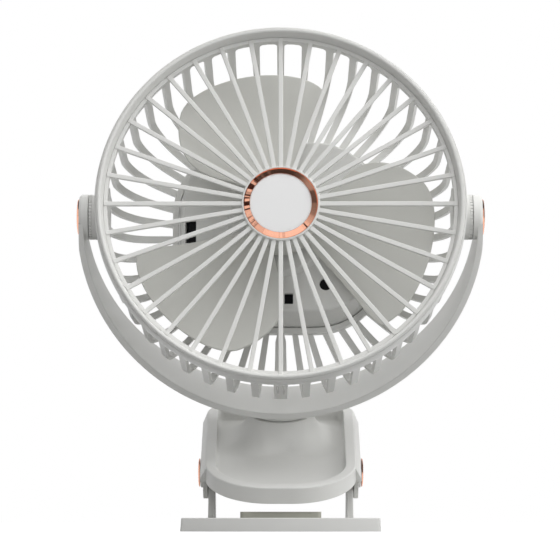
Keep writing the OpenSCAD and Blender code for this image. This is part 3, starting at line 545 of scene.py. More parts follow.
def build_floor():
    """A floor that turns into the white backdrop with distance, for the rays that see it."""
    settle()
    bpy.ops.mesh.primitive_plane_add(size=1, location=(0, 0, 0))
    floor = bpy.context.object
    floor.name = floor.data.name = "floor"
    edit(floor)
    bpy.ops.transform.resize(value=(FLOOR_W, FLOOR_W, 1))
    bpy.ops.mesh.subdivide(number_cuts=3)
    settle()
    material, tree, principled = surface("white_floor", Roughness=0.9, Specular_IOR_Level=0.0,
                                         Emission_Color=(1, 1, 1, 1))
    place = add(tree, "ShaderNodeTexCoord")["Object"]
    away = add(tree, "ShaderNodeVectorMath", [(0, place)], operation="LENGTH")["Value"]
    path = add(tree, "ShaderNodeLightPath")
    seen = maths(tree, "MAXIMUM", path["Is Camera Ray"],
                 maths(tree, "MAXIMUM", path["Is Glossy Ray"], path["Is Transmission Ray"]))
    glow = maths(tree, "MULTIPLY", seen, ranged(tree, away, 0.15, 0.9, 0.8, 1.0))
    tone = ranged(tree, noise(tree, place, 6.0), 0.0, 1.0, 0.29, 0.31)
    feed(tree, principled, [("Base Color", tone), ("Emission Strength", glow)])
    floor.data.materials.append(material)


build_world()
build_floor()
scene.view_settings.view_transform = "Standard"
softbox("front", 3.5, 0.9, 0.9, 0, 9)
softbox("high_front", 3, 0.9, 0.9, 20, 48)
softbox("right", 11, 0.8, 1.2, 80, 20)
softbox("high_right", 5, 0.9, 0.9, 60, 60)
softbox("back_top", 10, 1.0, 1.0, 180, 45)
softbox("top", 8.5, 1.2, 1.2, 0, 76)

# ------------------------------------------------------------------ guard


def build_trim_ring():
    """The bead round the front, with its ridge, two fine grooves and the funnel wall inside."""
    groove_w, groove_d, bead_d = 0.16, 0.22, 6
    bead = []
    for i in range(19):
        t = math.radians(90 - i * 5)
        bead.append((CAGE_R + (RING_R - CAGE_R) * math.cos(t), bead_d * (math.sin(t) - 1)))
    for r in (RING_R - 0.95, RING_R - 1.75):
        at = next(i for i, p in enumerate(bead) if p[0] > r)
        lip = bead[at - 1][1] + (bead[at][1] - bead[at - 1][1]) * 0.5
        bead[at:at] = near(r, lip, (-groove_w, 0.06), (0, -groove_d), (groove_w, -0.06))
    bead.sort()
    profile = (near(CAGE_R, 0, (-1.2, -0.75), (-0.9, -0.3), (-0.5, -0.06)) + bead
               + near(RING_R, 0, (-0.1, -7.5), (-0.3, -9))
               + near(RING_R, -RING_DEPTH, (-1.3, 1.1), (-1.55, 0.4), (-2.1, 0))
               + [(CAGE_R + 0.15, -RING_DEPTH), (CAGE_R + 0.15, -BAND_FRONT + 0.15),
                  (FUNNEL_R, -BAND_FRONT + 0.15)]
               + near(FUNNEL_R, -GRILLE_DEPTH, (0, -0.4), (0.1, 0.1)))
    ring = lathe("trim_ring_shell", closed(profile), 288)
    finish(ring, HEAD, "head", "body", ["trim_ring"], angle=40)


def build_grille():
    """Bevelled spokes from the hub's cup to the flange inside the ring."""
    reach, taper = FUNNEL_R - 0.1, 0.72
    settle()
    bpy.ops.mesh.primitive_cube_add(size=1, location=(0, 0, 0))
    spoke = bpy.context.object
    edit(spoke)
    bpy.ops.transform.resize(value=(reach - HUB_R + 1.5, SPOKE_W, SPOKE_T))
    bpy.ops.transform.translate(value=((reach + HUB_R - 1.5) / 2, 0,
                                       -GRILLE_DEPTH - SPOKE_T / 2))
    settle()
    # the back of a spoke is narrower, for its mould's draft
    edit(spoke, "FACE")
    pick(lambda f: f.normal.z < -0.9)
    bpy.ops.transform.resize(value=(1, taper, 1))
    settle()
    round_edges(spoke, 0.42, 3, 30, lambda e: middle(e).z > -GRILLE_DEPTH - 0.1
                and (abs(e.verts[0].co.x - e.verts[1].co.x) > 1 or middle(e).x > reach - 0.1))
    around(spoke, SPOKES, 90)
    flange = lathe("flange", closed(
        [(FLANGE_R, -BAND_FRONT + 0.15)]
        + near(FLANGE_R, -GRILLE_DEPTH, (0, -0.75), (0.12, -0.5), (0.4, -0.4))
        + [(reach, -GRILLE_DEPTH - 0.4), (reach, -BAND_FRONT + 0.15)]), 288)
    rim = HUB_R - 1.0
    cup = lathe("hub_cup", closed(
        [(0, -HUB_BACK + 2.4)]
        + near(HUB_R, -HUB_BACK, (-4, 2.4), (-4, 0), (-2, 0), (-0.5, 0.7), (0, 2))
        + near(HUB_R, -HUB_FRONT, (0, -0.55), (-0.12, -0.2), (-0.42, 0))
        + near(rim, -HUB_FRONT, (0.2, 0), (0, -0.15), (0, -1.2))
        + [(0, -HUB_FRONT - 1.2)]), FACETS)
    finish(joined("grille", [spoke, flange, cup]), HEAD, "head", "body", ["front_grille"],
           angle=40)


def facet_leans():
    """Lean and twist of the hub ring's facets: a run of them mirrors one part of the room."""
    dice = random.Random(11)
    slope, tick = 0.34, 0.5
    run, lean, twist, leans = 0, 0.0, 0.0, []
    for i in range(FACETS):
        left = 0.30 < i / FACETS < 0.62
        if run == 0:
            run = dice.choice([1, 2, 2]) if left else dice.choice([2, 4, 6, 9])
            lean, twist = dice.uniform(-0.12, 0.12), dice.uniform(-0.08, 0.08)
            if i / FACETS > 0.36 and dice.random() < (0.55 if left else 0.25):
                lean, twist, run = 0.0, tick if left else -tick, 1
        leans.append((slope + lean, twist))
        run -= 1
    return leans


def build_hub_badge():
    """The polished ring, cut in facets that each catch the light their own way, and the disc."""
    inner, outer, base = DISC_R + 0.05, HUB_R - 1.05, -HUB_FRONT - 1.2
    top = base + 1.2
    ring = lathe("hub_bright_ring", closed([
        (inner, base), (outer, base), (outer, top), (inner, top + 0.4)]), FACETS)
    edit(ring, "FACE")
    pick(lambda f: f.normal.z > 0.7)
    bpy.ops.mesh.split()
    bpy.ops.mesh.edge_split(type="EDGE")
    settle()
    leans = facet_leans()
    for face in ring.data.polygons:
        if face.normal.z > 0.7:
            turn = math.atan2(face.center.y, face.center.x) % math.tau
            lean, twist = leans[int(turn / math.tau * FACETS) % FACETS]
            for v in face.vertices:
                co = ring.data.vertices[v].co
                off = (math.atan2(co.y, co.x) - turn + math.pi) % math.tau - math.pi
                co.z = top + 0.1 - lean * (co.xy.length - (inner + outer) / 2) + twist * off * 16
    finish(ring, HEAD, "head", "rose_metal", ["hub_ring"], angle=1)
    disc = lathe("hub_plain_disc", [(0, base), (DISC_R, base)]
                 + near(DISC_R, base, (0, 1.1), (-0.25, 1.3), (-1, 1.36)) + [(0, base + 1.4)],
                 FACETS)
    finish(disc, HEAD, "head", "disc", ["hub_disc"])


def case_edge(turn, grow):
    """Distance from the axis to the housing's outline, grown outwards, in one direction."""
    c, s, r = abs(math.cos(turn)), abs(math.sin(turn)), CASE_R + grow
    flat = min((CASE_X + r) / c if c > 1e-6 else 1e9, (CASE_Y + r) / s if s > 1e-6 else 1e9)
    along = CASE_X * c + CASE_Y * s
    corner = along + math.sqrt(max(along * along - CASE_X ** 2 - CASE_Y ** 2 + r * r, 0))
    return corner if corner * c >= CASE_X and corner * s >= CASE_Y else flat


def cage_row(s):
    """Radius and height of the cage's outer face at length s along a rib."""
    bend_x, bend_z = CAGE_R - CAGE_DRAFT - BEND_R, -CAGE_DEPTH + BEND_R
    drum, bend = -bend_z - BAND_FRONT, math.pi / 2 * BEND_R
    if s <= drum:
        draft = max(0, (s + BAND_FRONT - SLOT_START) / (-bend_z - SLOT_START))
        return CAGE_R - CAGE_DRAFT * draft, -BAND_FRONT - s
    if s <= drum + bend:
        t = (s - drum) / BEND_R
        return bend_x + BEND_R * math.cos(t), bend_z - BEND_R * math.sin(t)
    return bend_x - (s - drum - bend), -CAGE_DEPTH


def build_cage():
    """Ribs that part in round arches behind the band and bend in to the frame at the back."""
    half = math.pi / RIBS
    slot_half = math.pi * CAGE_R / RIBS - RIB_W / 2
    start = SLOT_START - BAND_FRONT
    drum = CAGE_DEPTH - BEND_R - BAND_FRONT
    flat = drum + math.pi / 2 * BEND_R
    rows = [0, start * 0.5, start - 0.04]
    rows += [start + SLOT_CORNER * (1 - math.cos(math.radians(a))) for a in (0, 15, 35, 60, 90)]
    rows += [start + SLOT_CORNER + (drum - start - SLOT_CORNER) * k for k in (0.3, 0.65, 1)]
    rows += [drum + (flat - drum) * (i + 1) / 8 for i in range(8)]
    rows += [flat + 4, flat + 8, flat + RIB_REACH]
    rib = grid("rib", 4, len(rows) - 1)
    for v in rib.data.vertices:
        s, side = rows[round((v.co.y + 1) / 2 * (len(rows) - 1))], v.co.x
        r, z = cage_row(s)
        into = s - start
        if into < -0.01:
            w = r * half
        elif into < SLOT_CORNER:
            round_off = math.sqrt(SLOT_CORNER ** 2 - (SLOT_CORNER - into) ** 2)
            w = r * half - (slot_half - SLOT_CORNER + round_off)
        else:
            w = RIB_W / 2 - 0.3 * min(1, (into - SLOT_CORNER) / (flat - start))
        turn = side * w / r
        v.co = (r * math.cos(turn), r * math.sin(turn), z)
    around(rib, RIBS, 90)
    tidy_mesh(rib, 0.01)
    flat_from = CAGE_R - CAGE_DRAFT - BEND_R
    for v in rib.data.vertices:
        # the ribs of the rear face end inside the frame, whatever their direction
        r = v.co.xy.length
        if v.co.z < -CAGE_DEPTH + 0.01 and r < flat_from - 0.1:
            turn = math.atan2(v.co.y, v.co.x)
            new = flat_from - (flat_from - case_edge(turn, 1.6)) * (flat_from - r) / RIB_REACH
            v.co.x, v.co.y = v.co.x * new / r, v.co.y * new / r
        # the lowest rib is wider, for the snap tongue
        off = v.co.x
        if v.co.y < 0 and abs(off) < 2.2 and v.co.z < -SLOT_START - 2.5 and v.co.xy.length > 50:
            v.co.x = off * 3.5 / 1.9
    modify(rib, "SOLIDIFY", thickness=CAGE_T, offset=-1.0, use_even_offset=True)
    tidy_mesh(rib, 0.001)
    round_edges(rib, 0.38, 2, 50)
    # slits part the snap tongue from the rib at its sides and its front
    out, into = -CAGE_R - 1, -CAGE_R + 4
    for low, high, left, right in ((-36, -18, -1.95, -1.1), (-36, -18, 1.1, 1.95),
                                   (-18.85, -18, -1.95, 1.95)):
        carve(rib, plate("slit", [(left, out), (right, out), (right, into), (left, into)],
                         high - low, low))
    return rib


def build_cage_frame():
    """The rim that the ribs run into, round the motor housing."""
    rim = plate("cage_frame", rounded(CASE_X, CASE_Y, CASE_R + 3.4, 12), CAGE_T + 1.6,
                -CAGE_DEPTH)
    carve(rim, plate("hole", rounded(CASE_X, CASE_Y, CASE_R + 0.15, 12), 12, -CAGE_DEPTH - 4))
    round_edges(rim, 0.5, 3, 60)
    return rim


def build_cage_bosses():
    """Pivot bosses on the drum's sides, each with a flared foot."""
    boss = lathe("cage_boss", [(0, 85.2)] + near(
        BOSS_R, 0, (3.4, 85.2), (3.1, 86.4), (2, 88.1), (1, 89.3), (0.3, 90.6), (0, 92))
        + near(BOSS_R, BOSS_OUT, (0, -0.3), (-0.3, 0)) + [(0, BOSS_OUT)], 72)
    return both_sides("cage_bosses", moved(boss, ON_PIVOT))


def build_guard_back():
    cage = joined("guard_cage", [build_cage(), build_cage_frame(), build_cage_bosses()])
    finish(cage, HEAD, "head", "body", ["rear_cage"], angle=40)


def build_friction_washers():
    """Toothed washers between the head's bosses and the yoke's ends."""
    teeth, root, outline = 40, BOSS_R - 0.45, []
    for i in range(teeth):
        for step, r in ((0.0, BOSS_R), (0.30, BOSS_R), (0.38, root), (0.62, root),
                        (0.70, BOSS_R)):
            t = (i + step) / teeth * math.tau
            outline.append((r * math.cos(t), r * math.sin(t)))
    washer = plate("friction_washer", outline, ARM_IN - 0.3 - BOSS_OUT, BOSS_OUT)
    finish(both_sides("friction_washers", moved(washer, ON_PIVOT)), HEAD, "head", "body",
           ["pivot_washers"], angle=25)

# ------------------------------------------------------------------ rotor


def blade_edges(t):
    """Directions of a blade's leading and trailing edge, either side of its middle line."""
    return 31 + 19 * math.sin(math.pi * t ** 0.87), -25 - 6.5 * t + 2.5 * t ** 9


def build_blade():
    """A cupped blade, pitched along its chord, with rounded corners at its tip."""
    root = ROTOR_HUB_R - 2
    blade = grid("blade", 28, 30)
    for v in blade.data.vertices:
        u, t = (v.co.x + 1) / 2, (v.co.y + 1) / 2
        lead, trail = blade_edges(t)
        a = trail + (lead - trail) * u
        r = (root + (BLADE_R - ROTOR_HUB_R + 2) * t
             * (1 - 0.055 * abs(2 * u - 1) ** 6 * t ** 4))
        z = BLADE_PITCH * math.radians(a) + 1.5 * math.cos(math.radians(a * 1.6)) * t
        turn = math.radians(a + BLADE_START)
        v.co = (r * math.cos(turn), r * math.sin(turn), z - BLADE_DEPTH)
    modify(blade, "SOLIDIFY", thickness=BLADE_T, offset=0.0, use_even_offset=True)
    tidy_mesh(blade, 0.001)
    round_edges(blade, 0.55, 3, 50)
    return blade


def build_rotor():
    """Three cupped blades on a hub with a rounded nose and a stepped skirt."""
    blades = around(build_blade(), BLADES)
    back, bore = -HUB_NOSE - HUB_LEN, SHAFT_R + 0.1
    hub = lathe("rotor_hub", closed(
        [(bore, -HUB_NOSE - 3), (5.2, -HUB_NOSE - 3), (5.2, -HUB_NOSE - 0.3), (5.5, -HUB_NOSE)]
        + arc(ROTOR_HUB_R - 5, -HUB_NOSE - 5, 5, 0, 90, 10)[::-1]
        + near(ROTOR_HUB_R, back, (0, 0.4), (-0.4, 0), (-2, 0), (-2.2, 0.2))
        + [(ROTOR_HUB_R - 2.2, back + HUB_LEN - 4), (bore, back + HUB_LEN - 4)]))
    finish(joined("rotor", [blades, hub]), HEAD, "rotor", "blade", ["fan_blades"], angle=40)

# ------------------------------------------------------------------ yoke and pivots


def build_yoke():
    """A bent strip, wider at the swivel, with eased edges and barrels at its ends."""
    sides, steps, ease = 20, 96, 0.55
    strip = grid("strip", sides, steps)
    for v in strip.data.vertices:
        k = round((v.co.x + 1) / 2 * sides) % sides
        turn = math.pi * (1 + (v.co.y + 1) / 2)
        wide = BOSS_R + (YOKE_W / 2 - BOSS_R) * -math.sin(turn)
        side = k // 5
        corner = [(1, 1), (-1, 1), (-1, -1), (1, -1)][side]
        t = math.radians(90 * side + 90 * min(k % 5, 4) / 4)
        y = corner[0] * (wide - ease) + ease * math.cos(t)
        out = corner[1] * (YOKE_T / 2 - ease) + ease * math.sin(t)
        r = YOKE_R - YOKE_T / 2 + out
        x = max(-ARM_OUT, min(ARM_OUT, r * math.cos(turn)))
        v.co = (x, y, r * math.sin(turn))
    tidy_mesh(strip, 0.01)
    barrel = lathe("yoke_barrel", closed(
        [(BOLT_HOLE_R, ARM_IN), (BOSS_R - 0.35, ARM_IN), (BOSS_R, ARM_IN + 0.35)]
        + near(BOSS_R, ARM_OUT, (0, -1.5), (-0.25, -0.9), (-1.1, -0.1), (-1.5, 0))
        + near(PIVOT_CAP_R, ARM_OUT, (0.15, 0), (0, -0.15), (0, -0.5))
        + [(BOLT_HOLE_R, ARM_OUT - 0.5)]))
    yoke = joined("yoke_bow", [strip, both_sides("barrels", moved(barrel, ACROSS))])
    finish(yoke, YOKE, "yoke", "body", ["yoke"])
    caps = lathe("pivot_covers", [(0, ARM_OUT - 0.5)] + near(
        PIVOT_CAP_R, ARM_OUT, (-0.1, -0.5), (-0.1, 0.4), (-0.25, 0.65), (-0.6, 0.85),
        (-1.3, 0.95), (-1.5, 0.75), (-1.8, 0.75), (-2.1, 1.0), (-3.4, 1.25))
        + [(PIVOT_CAP_R - 6, ARM_OUT + PIVOT_CAP_T - 0.03), (0, ARM_OUT + PIVOT_CAP_T)])
    finish(both_sides("pivot_covers", moved(caps, ACROSS)), YOKE, "yoke", "rose_metal",
           ["pivot_caps"])


def build_hinge_caps():
    cap = lathe("hinge_cover", [(0, CAP_IN)] + near(
        CAP_R, CAP_IN, (-0.4, 0), (0, 0.25), (-0.15, 0.55), (-0.7, 0.8), (-1.0, 0.72),
        (-1.25, 0.72), (-1.6, 0.92), (-3.5, 1.05)) + [(0, CAP_IN + CAP_T)])
    moved(cap, Matrix.Translation(PIN) @ ACROSS)
    finish(both_sides("hinge_covers", cap), BASE, "base", "rose_metal", ["hinge_caps"])


def wire(name, points, radius):
    """Round wire along a line of points about the hinge pin, as a mesh."""
    settle()
    curve = bpy.data.curves.new(name, "CURVE")
    curve.dimensions, curve.bevel_depth, curve.bevel_resolution = "3D", radius, 3
    curve.use_fill_caps = True
    line = curve.splines.new("POLY")
    line.points.add(len(points) - 1)
    for point, place in zip(line.points, points):
        point.co = (*place, 1)
    piece = bpy.data.objects.new(name, curve)
    scene.collection.objects.link(piece)
    work_on(piece)
    bpy.ops.object.convert(target="MESH")
    return moved(bpy.context.object, Matrix.Translation(PIN))


def on_coil(a):
    """A point of the spring's coil, at an angle from where its lower leg leaves it."""
    t = 1.5 * math.pi - LOWER_LEG - a
    start = EAR_OUT - EAR_T - WIRE_R - 0.3
    return Vector((start - COIL_PITCH * a / math.tau, COIL_R * math.cos(t),
                   COIL_R * math.sin(t)))


def build_spring():
    """Wire wound round the pin with a leg on the foot; the leg under the jaw moves with the jaw."""
    span = COIL_TURNS * math.tau + math.pi - LOWER_LEG - UPPER_LEG
    steps, overlap = 144, math.radians(45)
    coil = [on_coil(0) + 12 * Vector((0, math.cos(LOWER_LEG), -math.sin(LOWER_LEG)))]
    coil += [on_coil(span * i / steps) for i in range(steps + 1)]
    finish(both_sides("torsion_springs", wire("spring_coil", coil, WIRE_R)), BASE, "base",
           "steel", ["torsion_spring"])
    # the moving leg starts with the coil's end, a hair thinner
    leg = [on_coil(span - overlap * (1 - i / 8)) for i in range(9)]
    leg += [on_coil(span) + 19 * Vector((0, math.cos(UPPER_LEG), math.sin(UPPER_LEG)))]
    finish(both_sides("spring_legs", wire("spring_leg", leg, WIRE_R * 0.99)), BASE, "upper_jaw",
           "steel")

# ------------------------------------------------------------------ back of the head


def build_screws():
    """Pan heads with a cross recess in the rear cover."""
    top = -CASE_END - COVER_T
    head = lathe("cover_screw", near(0, top, (0, 0.95), (2.7, 0.95), (2.7, 0.45), (2.55, 0.25),
                                     (2.1, 0.12), (1.2, 0.1), (0, 0.1)), 40)
    for w, h in ((2.6, 0.62), (0.62, 2.6)):
        carve(head, plate("recess", box(0, 0, w / 2, h / 2), 0.55, top - 0.1))
    shank = lathe("screw_shank", closed(near(0, top, (0, 0.9), (1.45, 0.9), (1.45, 11),
                                             (1.0, 11.6), (0, 11.6))), 24)
    screw = moved(joined("cover_screw", [head, shank]), Matrix.Translation(SCREW_AT))
    screws = both_sides("cover_screw_set", both_sides("screw_row", screw), (0, 1, 0))
    finish(screws, HEAD, "head", "steel", ["cover_screws"])


def build_button():
    """The power button: a dished cap in a fine chamfer."""
    back, r = -CASE_END - COVER_T - 1.2, 7.0
    cap = lathe("power_button_cap", closed(
        near(0, back, (0, 0.45), (2.5, 0.38), (4.3, 0.2), (5.4, 0.03), (6.0, 0), (6.5, 0.1),
             (6.85, 0.35), (r, 0.75), (r, 5.2), (r - 0.3, 5.5), (2, 5.5), (2, 6.8), (0, 6.8))))
    moved(cap, Matrix.Translation((0, 9, 0)))
    finish(cap, HEAD, "power_button", "button", ["power_button"])


def build_rear_cover():
    """A copy of the cover's solid with its flat faces merged and its edges rounded."""
    source = frame["nodes"]["rear_cover"]
    cover = source.copy()
    cover.data = source.data.copy()
    cover.name = cover.data.name = "rear_cover_shell"
    scene.collection.objects.link(cover)
    place = source.matrix_world.copy()
    cover.parent = None
    cover.data.transform(Matrix.Scale(1000, 4) @ place)
    cover.matrix_world = Matrix.Identity(4)
    edit(cover)
    bpy.ops.mesh.remove_doubles(threshold=0.012)
    bpy.ops.mesh.dissolve_limited(angle_limit=math.radians(0.6))
    bpy.ops.mesh.normals_make_consistent(inside=False)
    settle()
    round_edges(cover, 0.35, 2, 28)
    finish(cover, MM, "head", "body", ["rear_cover"])


def build_housing():
    """The motor's case: tapered walls, a boss round the motor, vents with a black sheet of painted
    shade behind.
    """
    front_r, front_edge, wall = CASE_R - CASE_TAPER, -CASE_FRONT - 0.01, 2
    case = plate("motor_case", rounded(CASE_X, CASE_Y, front_r, 14), CASE_END - CASE_FRONT,
                 -CASE_END)
    hollow = plate("hollow", rounded(CASE_X, CASE_Y, front_r - wall, 14),
                   CASE_END - CASE_FRONT, -CASE_END - wall)
    for piece, bottom in ((case, -CASE_END), (hollow, -CASE_END - wall)):
        for v in piece.data.vertices:
            if v.co.z < bottom + 0.01:
                corner = Vector((math.copysign(CASE_X, v.co.x), math.copysign(CASE_Y, v.co.y),
                                 v.co.z))
                v.co += (v.co - corner).normalized() * CASE_TAPER
    carve(case, hollow)
    carve(case, lathe("seat", rod(MOTOR_R + 0.15, -46, -40)))
    round_edges(case, 1.3, 4, 40, lambda e: min(v.co.z for v in e.verts) > front_edge
                and middle(e).xy.length > MOTOR_R + 5)
    for x, y, w, h in CASE_VENTS:
        carve(case, plate("vent", box(x, y, w / 2, h / 2), 8, -48))
    vent = lathe("vent", rod(ROUND_VENT_R, -48, -40), 40)
    carve(case, moved(vent, Matrix.Translation(ROUND_VENT)))
    round_edges(case, 0.25, 2, 60, lambda e: min(v.co.z for v in e.verts) > front_edge)
    boss = lathe("motor_boss", closed([
        (6, -39.25), (6.25, -39), (23.6, -39), (24.4, -39.25), (24.75, -39.6), (25.9, -41.2),
        (26.3, -41.85), (26.5, -42.2), (MOTOR_R + 0.15, -42.2), (MOTOR_R + 0.15, -40.2),
        (6, -40.2)]), 120)
    post = lathe("screw_post", closed(near(0, -CASE_END, (1.55, 0), (3.2, 0), (3.4, 0.2),
                                           (3.4, 8), (1.55, 8))), 32)
    moved(post, Matrix.Translation(SCREW_AT))
    posts = both_sides("posts", both_sides("post_row", post, (0, 1, 0)))
    finish(joined("motor_case", [case, boss, posts]), HEAD, "head", "body", ["motor_housing"],
           angle=40)
    # painted shade: a thin black sheet across the inside of the case, behind the vents, stands in for
    # the shade in there
    shade_sheet = plate("painted_shade_sheet", rounded(CASE_X, CASE_Y, front_r - 2.6, 12), 0.3,
                  -CASE_FRONT - 2.35)
    carve(shade_sheet, lathe("seat", rod(MOTOR_R + 0.6, -50, -40), 72))
    round_edges(shade_sheet, 0.08, 2, 40)
    finish(shade_sheet, HEAD, "head", "dark_plastic")

# ------------------------------------------------------------------ clamp


def jaw_line(out):
    """Outline of the jaw's rim, grown by out: points from the front, round the right, and back."""
    cx, cy = JAW_W / 2 - LIP_R, LIP_R - JAW_FRONT
    tx, ty = JAW_W / 2 - TAIL_R, JAW_L - JAW_FRONT - TAIL_R
    right = (arc(cx, cy, LIP_R + out, -90, 0, 32)
             + [(JAW_W / 2 + out, cy + (ty - cy) * k / 12) for k in range(1, 12)]
             + arc(tx, ty, TAIL_R + out, 0, 90, 16))
    return right + [(-x, y) for x, y in reversed(right)]


def wrapped(name, rings, shut=True):
    """A skin over rings of equal length, closed round each ring when shut, its ends filled."""
    across, along = len(rings[0]), len(rings)
    columns = across if shut else across - 1
    skin = grid(name, columns, along - 1)
    for v in skin.data.vertices:
        i = round((v.co.x + 1) / 2 * columns) % across
        v.co = rings[round((v.co.y + 1) / 2 * (along - 1))][i]
    tidy_mesh(skin, 0.003)
    edit(skin)
    bpy.ops.mesh.fill_holes(sides=0)
    settle()
    tidy_mesh(skin, 0.003)
    return skin


def build_tray():
    """The rim, its rounded edges and the tray inside it, open in the middle for the post."""
    wall, floor, fillet = -RIM_W, -TRAY_DEPTH, TRAY_FILLET
    under = floor - FLOOR_T
    profile = [(wall - 2.4, floor), (wall - fillet, floor)]
    for a in (20, 40, 60, 80):
        turn = math.radians(a)
        profile.append((wall - fillet + fillet * math.sin(turn),
                        floor + fillet * (1 - math.cos(turn))))
    profile += [(wall, floor + 1.8)]
    profile += near(wall, 0, (0, -0.55), (0.08, -0.25), (0.3, -0.06), (0.6, 0))
    profile += [(-0.75, 0), (-0.4, -0.07), (-0.12, -0.3), (0, -0.7)]
    profile += near(0, -JAW_H, (0, 0.6), (-0.12, 0.25), (-0.4, 0.05), (-0.8, 0), (-2.6, 0))
    profile += [(-3.1, under), (wall - 2.4, under)]
    tray = wrapped("tray", [[(x, y, z) for x, y in jaw_line(out)] for out, z in profile])
    return carve(tray, lathe("hole", rod(NUT_R, under - 1, floor + 1)))


def flare_line(turn):
    """The line that the flare runs to: the tray's sides and tail, and a curve in front."""
    across, along = abs(math.cos(turn)), math.sin(turn)
    reach = min(DOME_MAX, TRAY_SIDE / max(across, 1e-6))
    if along > 0:
        return min(reach, TRAY_TAIL / along)
    room = along ** 2 - 4 * DOME_SWEEP * across ** 2 * DOME_FRONT
    if room > 0:
        reach = min(reach, 2 * DOME_FRONT / (math.sqrt(room) - along))
    return reach


def dome_reach(turn):
    """How far the flare runs, eased where its line turns a corner."""
    around_it = [flare_line(turn + math.radians(a)) for a in range(-20, 21, 4)]
    return min(sum(around_it) / len(around_it), TRAY_SIDE / max(abs(math.cos(turn)), 1e-6))


def build_dome():
    """The flared dome under the swivel, hollow for the nut."""
    foot, top, rise, bore = DOME_R, DOME_TOP_R, DOME_RISE, POST_R + 0.1
    run, height = foot - top, rise + TRAY_DEPTH
    bow = (run * run + height * height) / (2 * height)
    sweep = math.degrees(math.atan2(run, bow - height))
    flare = arc(foot, bow - TRAY_DEPTH, bow, -90, -90 - sweep, 24)
    profile = (near(foot + 0.5, -TRAY_DEPTH, (0, -0.6), (0, 0)) + flare[1:-1]
               + near(top, rise, (0.15, -0.35), (-0.25, -0.06), (-0.7, 0))
               + [(bore, rise), (bore, rise - 3), (NUT_R, rise - 3)]
               + near(NUT_R, -TRAY_DEPTH, (0, -1.8), (1, -1.8)))
    dome = lathe("dome", closed(profile), 144)
    for v in dome.data.vertices:
        r = v.co.xy.length
        if r > top + 0.2:
            turn = math.atan2(v.co.y, v.co.x)
            new = top + (r - top) * (dome_reach(turn) - top) / run
            v.co.x, v.co.y = new * math.cos(turn), new * math.sin(turn)
    return dome


def skirt_bottom(y):
    """Depth of the skirts' lower edge: it dips round the pin and rises to the thumb end."""
    points = ([(SKIRT_START, -1.2), (SKIRT_START + 3, -JAW_H)]
              + near(PIN_Y, PIN_Z, (-7.2, -2.6), (-5.4, -5.4), (-2.6, -7.1), (0, -7.6),
                     (2.6, -7.14))
              + [(JAW_L - JAW_FRONT + SKIRT_OUT - 8, SKIRT_LOW)])
    for (y0, z0), (y1, z1) in zip(points, points[1:]):
        if y <= y1:
            return z0 + (z1 - z0) * (y - y0) / (y1 - y0)
    return SKIRT_LOW


def flank_at(z):
    """How far the flank stands out at a depth below the rim."""
    return max(0.05, min(SKIRT_OUT, 0.35 - (SKIRT_OUT - 0.7) * (z + 0.95) / 5.05))


def skirt_path(out):
    """Outline of the skirts, from the right one's front round the tail and back."""
    cx, cy = JAW_W / 2 - LIP_R, LIP_R - JAW_FRONT
    tx, ty = JAW_W / 2 - TAIL_R, JAW_L - JAW_FRONT - TAIL_R
    stations = [SKIRT_START + 0.5 * k for k in range(8)] + [-49 + 1.4 * k for k in range(47)]
    side = []
    for y in stations:
        if y < ty - 0.5:
            grown = min(out, flank_at(skirt_bottom(y) + 0.5))
            x = JAW_W / 2 + grown
            if y < cy:
                x = cx + math.sqrt((LIP_R + grown) ** 2 - (y - cy) ** 2)
            side.append((x, y))
    side += arc(tx, ty, TAIL_R + out, 0, 90, 16)
    return side + [(-x, y) for x, y in reversed(side)]


def build_skirts():
    """Flanks that flare out under the rim and drop to skirts round the pin and the tail."""
    flank = [(-0.9, -0.8), (-0.2, -0.55), (0.1, -0.6), (0.35, -0.95), (SKIRT_OUT - 0.35, -6.0),
             (SKIRT_OUT - 0.08, -6.55), (SKIRT_OUT, -7.1)]
    edge = [(SKIRT_OUT, 0.5), (SKIRT_OUT - 0.12, 0.15), (SKIRT_OUT - 0.5, 0), (-0.6, 0),
            (-0.95, 0.2), (-1.0, 0.6)]
    rings = [[(x, y, max(z, skirt_bottom(y) + 0.5)) for x, y in skirt_path(out)]
             for out, z in flank]
    rings += [[(x, y, skirt_bottom(y) + rise) for x, y in skirt_path(out)] for out, rise in edge]
    rings.append([(x, y, max(-0.8, skirt_bottom(y) + 0.55)) for x, y in skirt_path(-1.0)])
    rings.append(rings[0])
    return wrapped("skirts", rings, shut=False)


def build_cheeks():
    """Round cheeks inside the skirts that carry the pin."""
    cheek = plate("cheek", arc(PIN_Y, PIN_Z, 13, 153, 387, 48), 2.4, JAW_W / 2 - 1)
    round_edges(cheek, 0.35, 2, 40)
    return both_sides("cheeks", moved(cheek, SIDEWAYS))


def build_jaw():
    jaw = joined("jaw_shell", [build_tray(), build_dome(), build_skirts(), build_cheeks()])
    finish(jaw, JAW, "upper_jaw", "body", ["upper_jaw"], angle=38)


def build_foot_base():
    """The foot's plate, with a bowed front edge and wells for the pads under it."""
    half, corner, top = FOOT_W / 2, 9.0, FOOT_T - 0.01
    front = []
    for i in range(49):
        x = (half - 0.1) * (i / 24 - 1)
        front.append((x, FOOT_BOW - FOOT_FRONT - math.sqrt(FOOT_BOW ** 2 - x * x)))
    back_y = FOOT_D - FOOT_FRONT - corner
    outline = ([(half, front[-1][1] + 1.2)] + arc(half - corner, back_y, corner, 0, 90, 12)
               + arc(corner - half, back_y, corner, 90, 180, 12)
               + [(-half, front[0][1] + 1.2)] + front)
    base = plate("foot_plate_shell", outline, FOOT_T)
    for v in base.data.vertices:
        if v.co.z > top:
            v.co.x *= 1 - 0.6 / half
    round_edges(base, 1.1, 3, 40, lambda e: abs(e.verts[0].co.z - e.verts[1].co.z) > 1)
    round_edges(base, 0.5, 3, 40, lambda e: min(v.co.z for v in e.verts) > top)
    round_edges(base, 0.3, 2, 40, lambda e: max(v.co.z for v in e.verts) < 0.01)
    for place in WELLS:
        well = lathe("well", rod(WELL_R, -1, 1.4), 48)
        carve(base, moved(well, Matrix.Translation(place)))
    return base


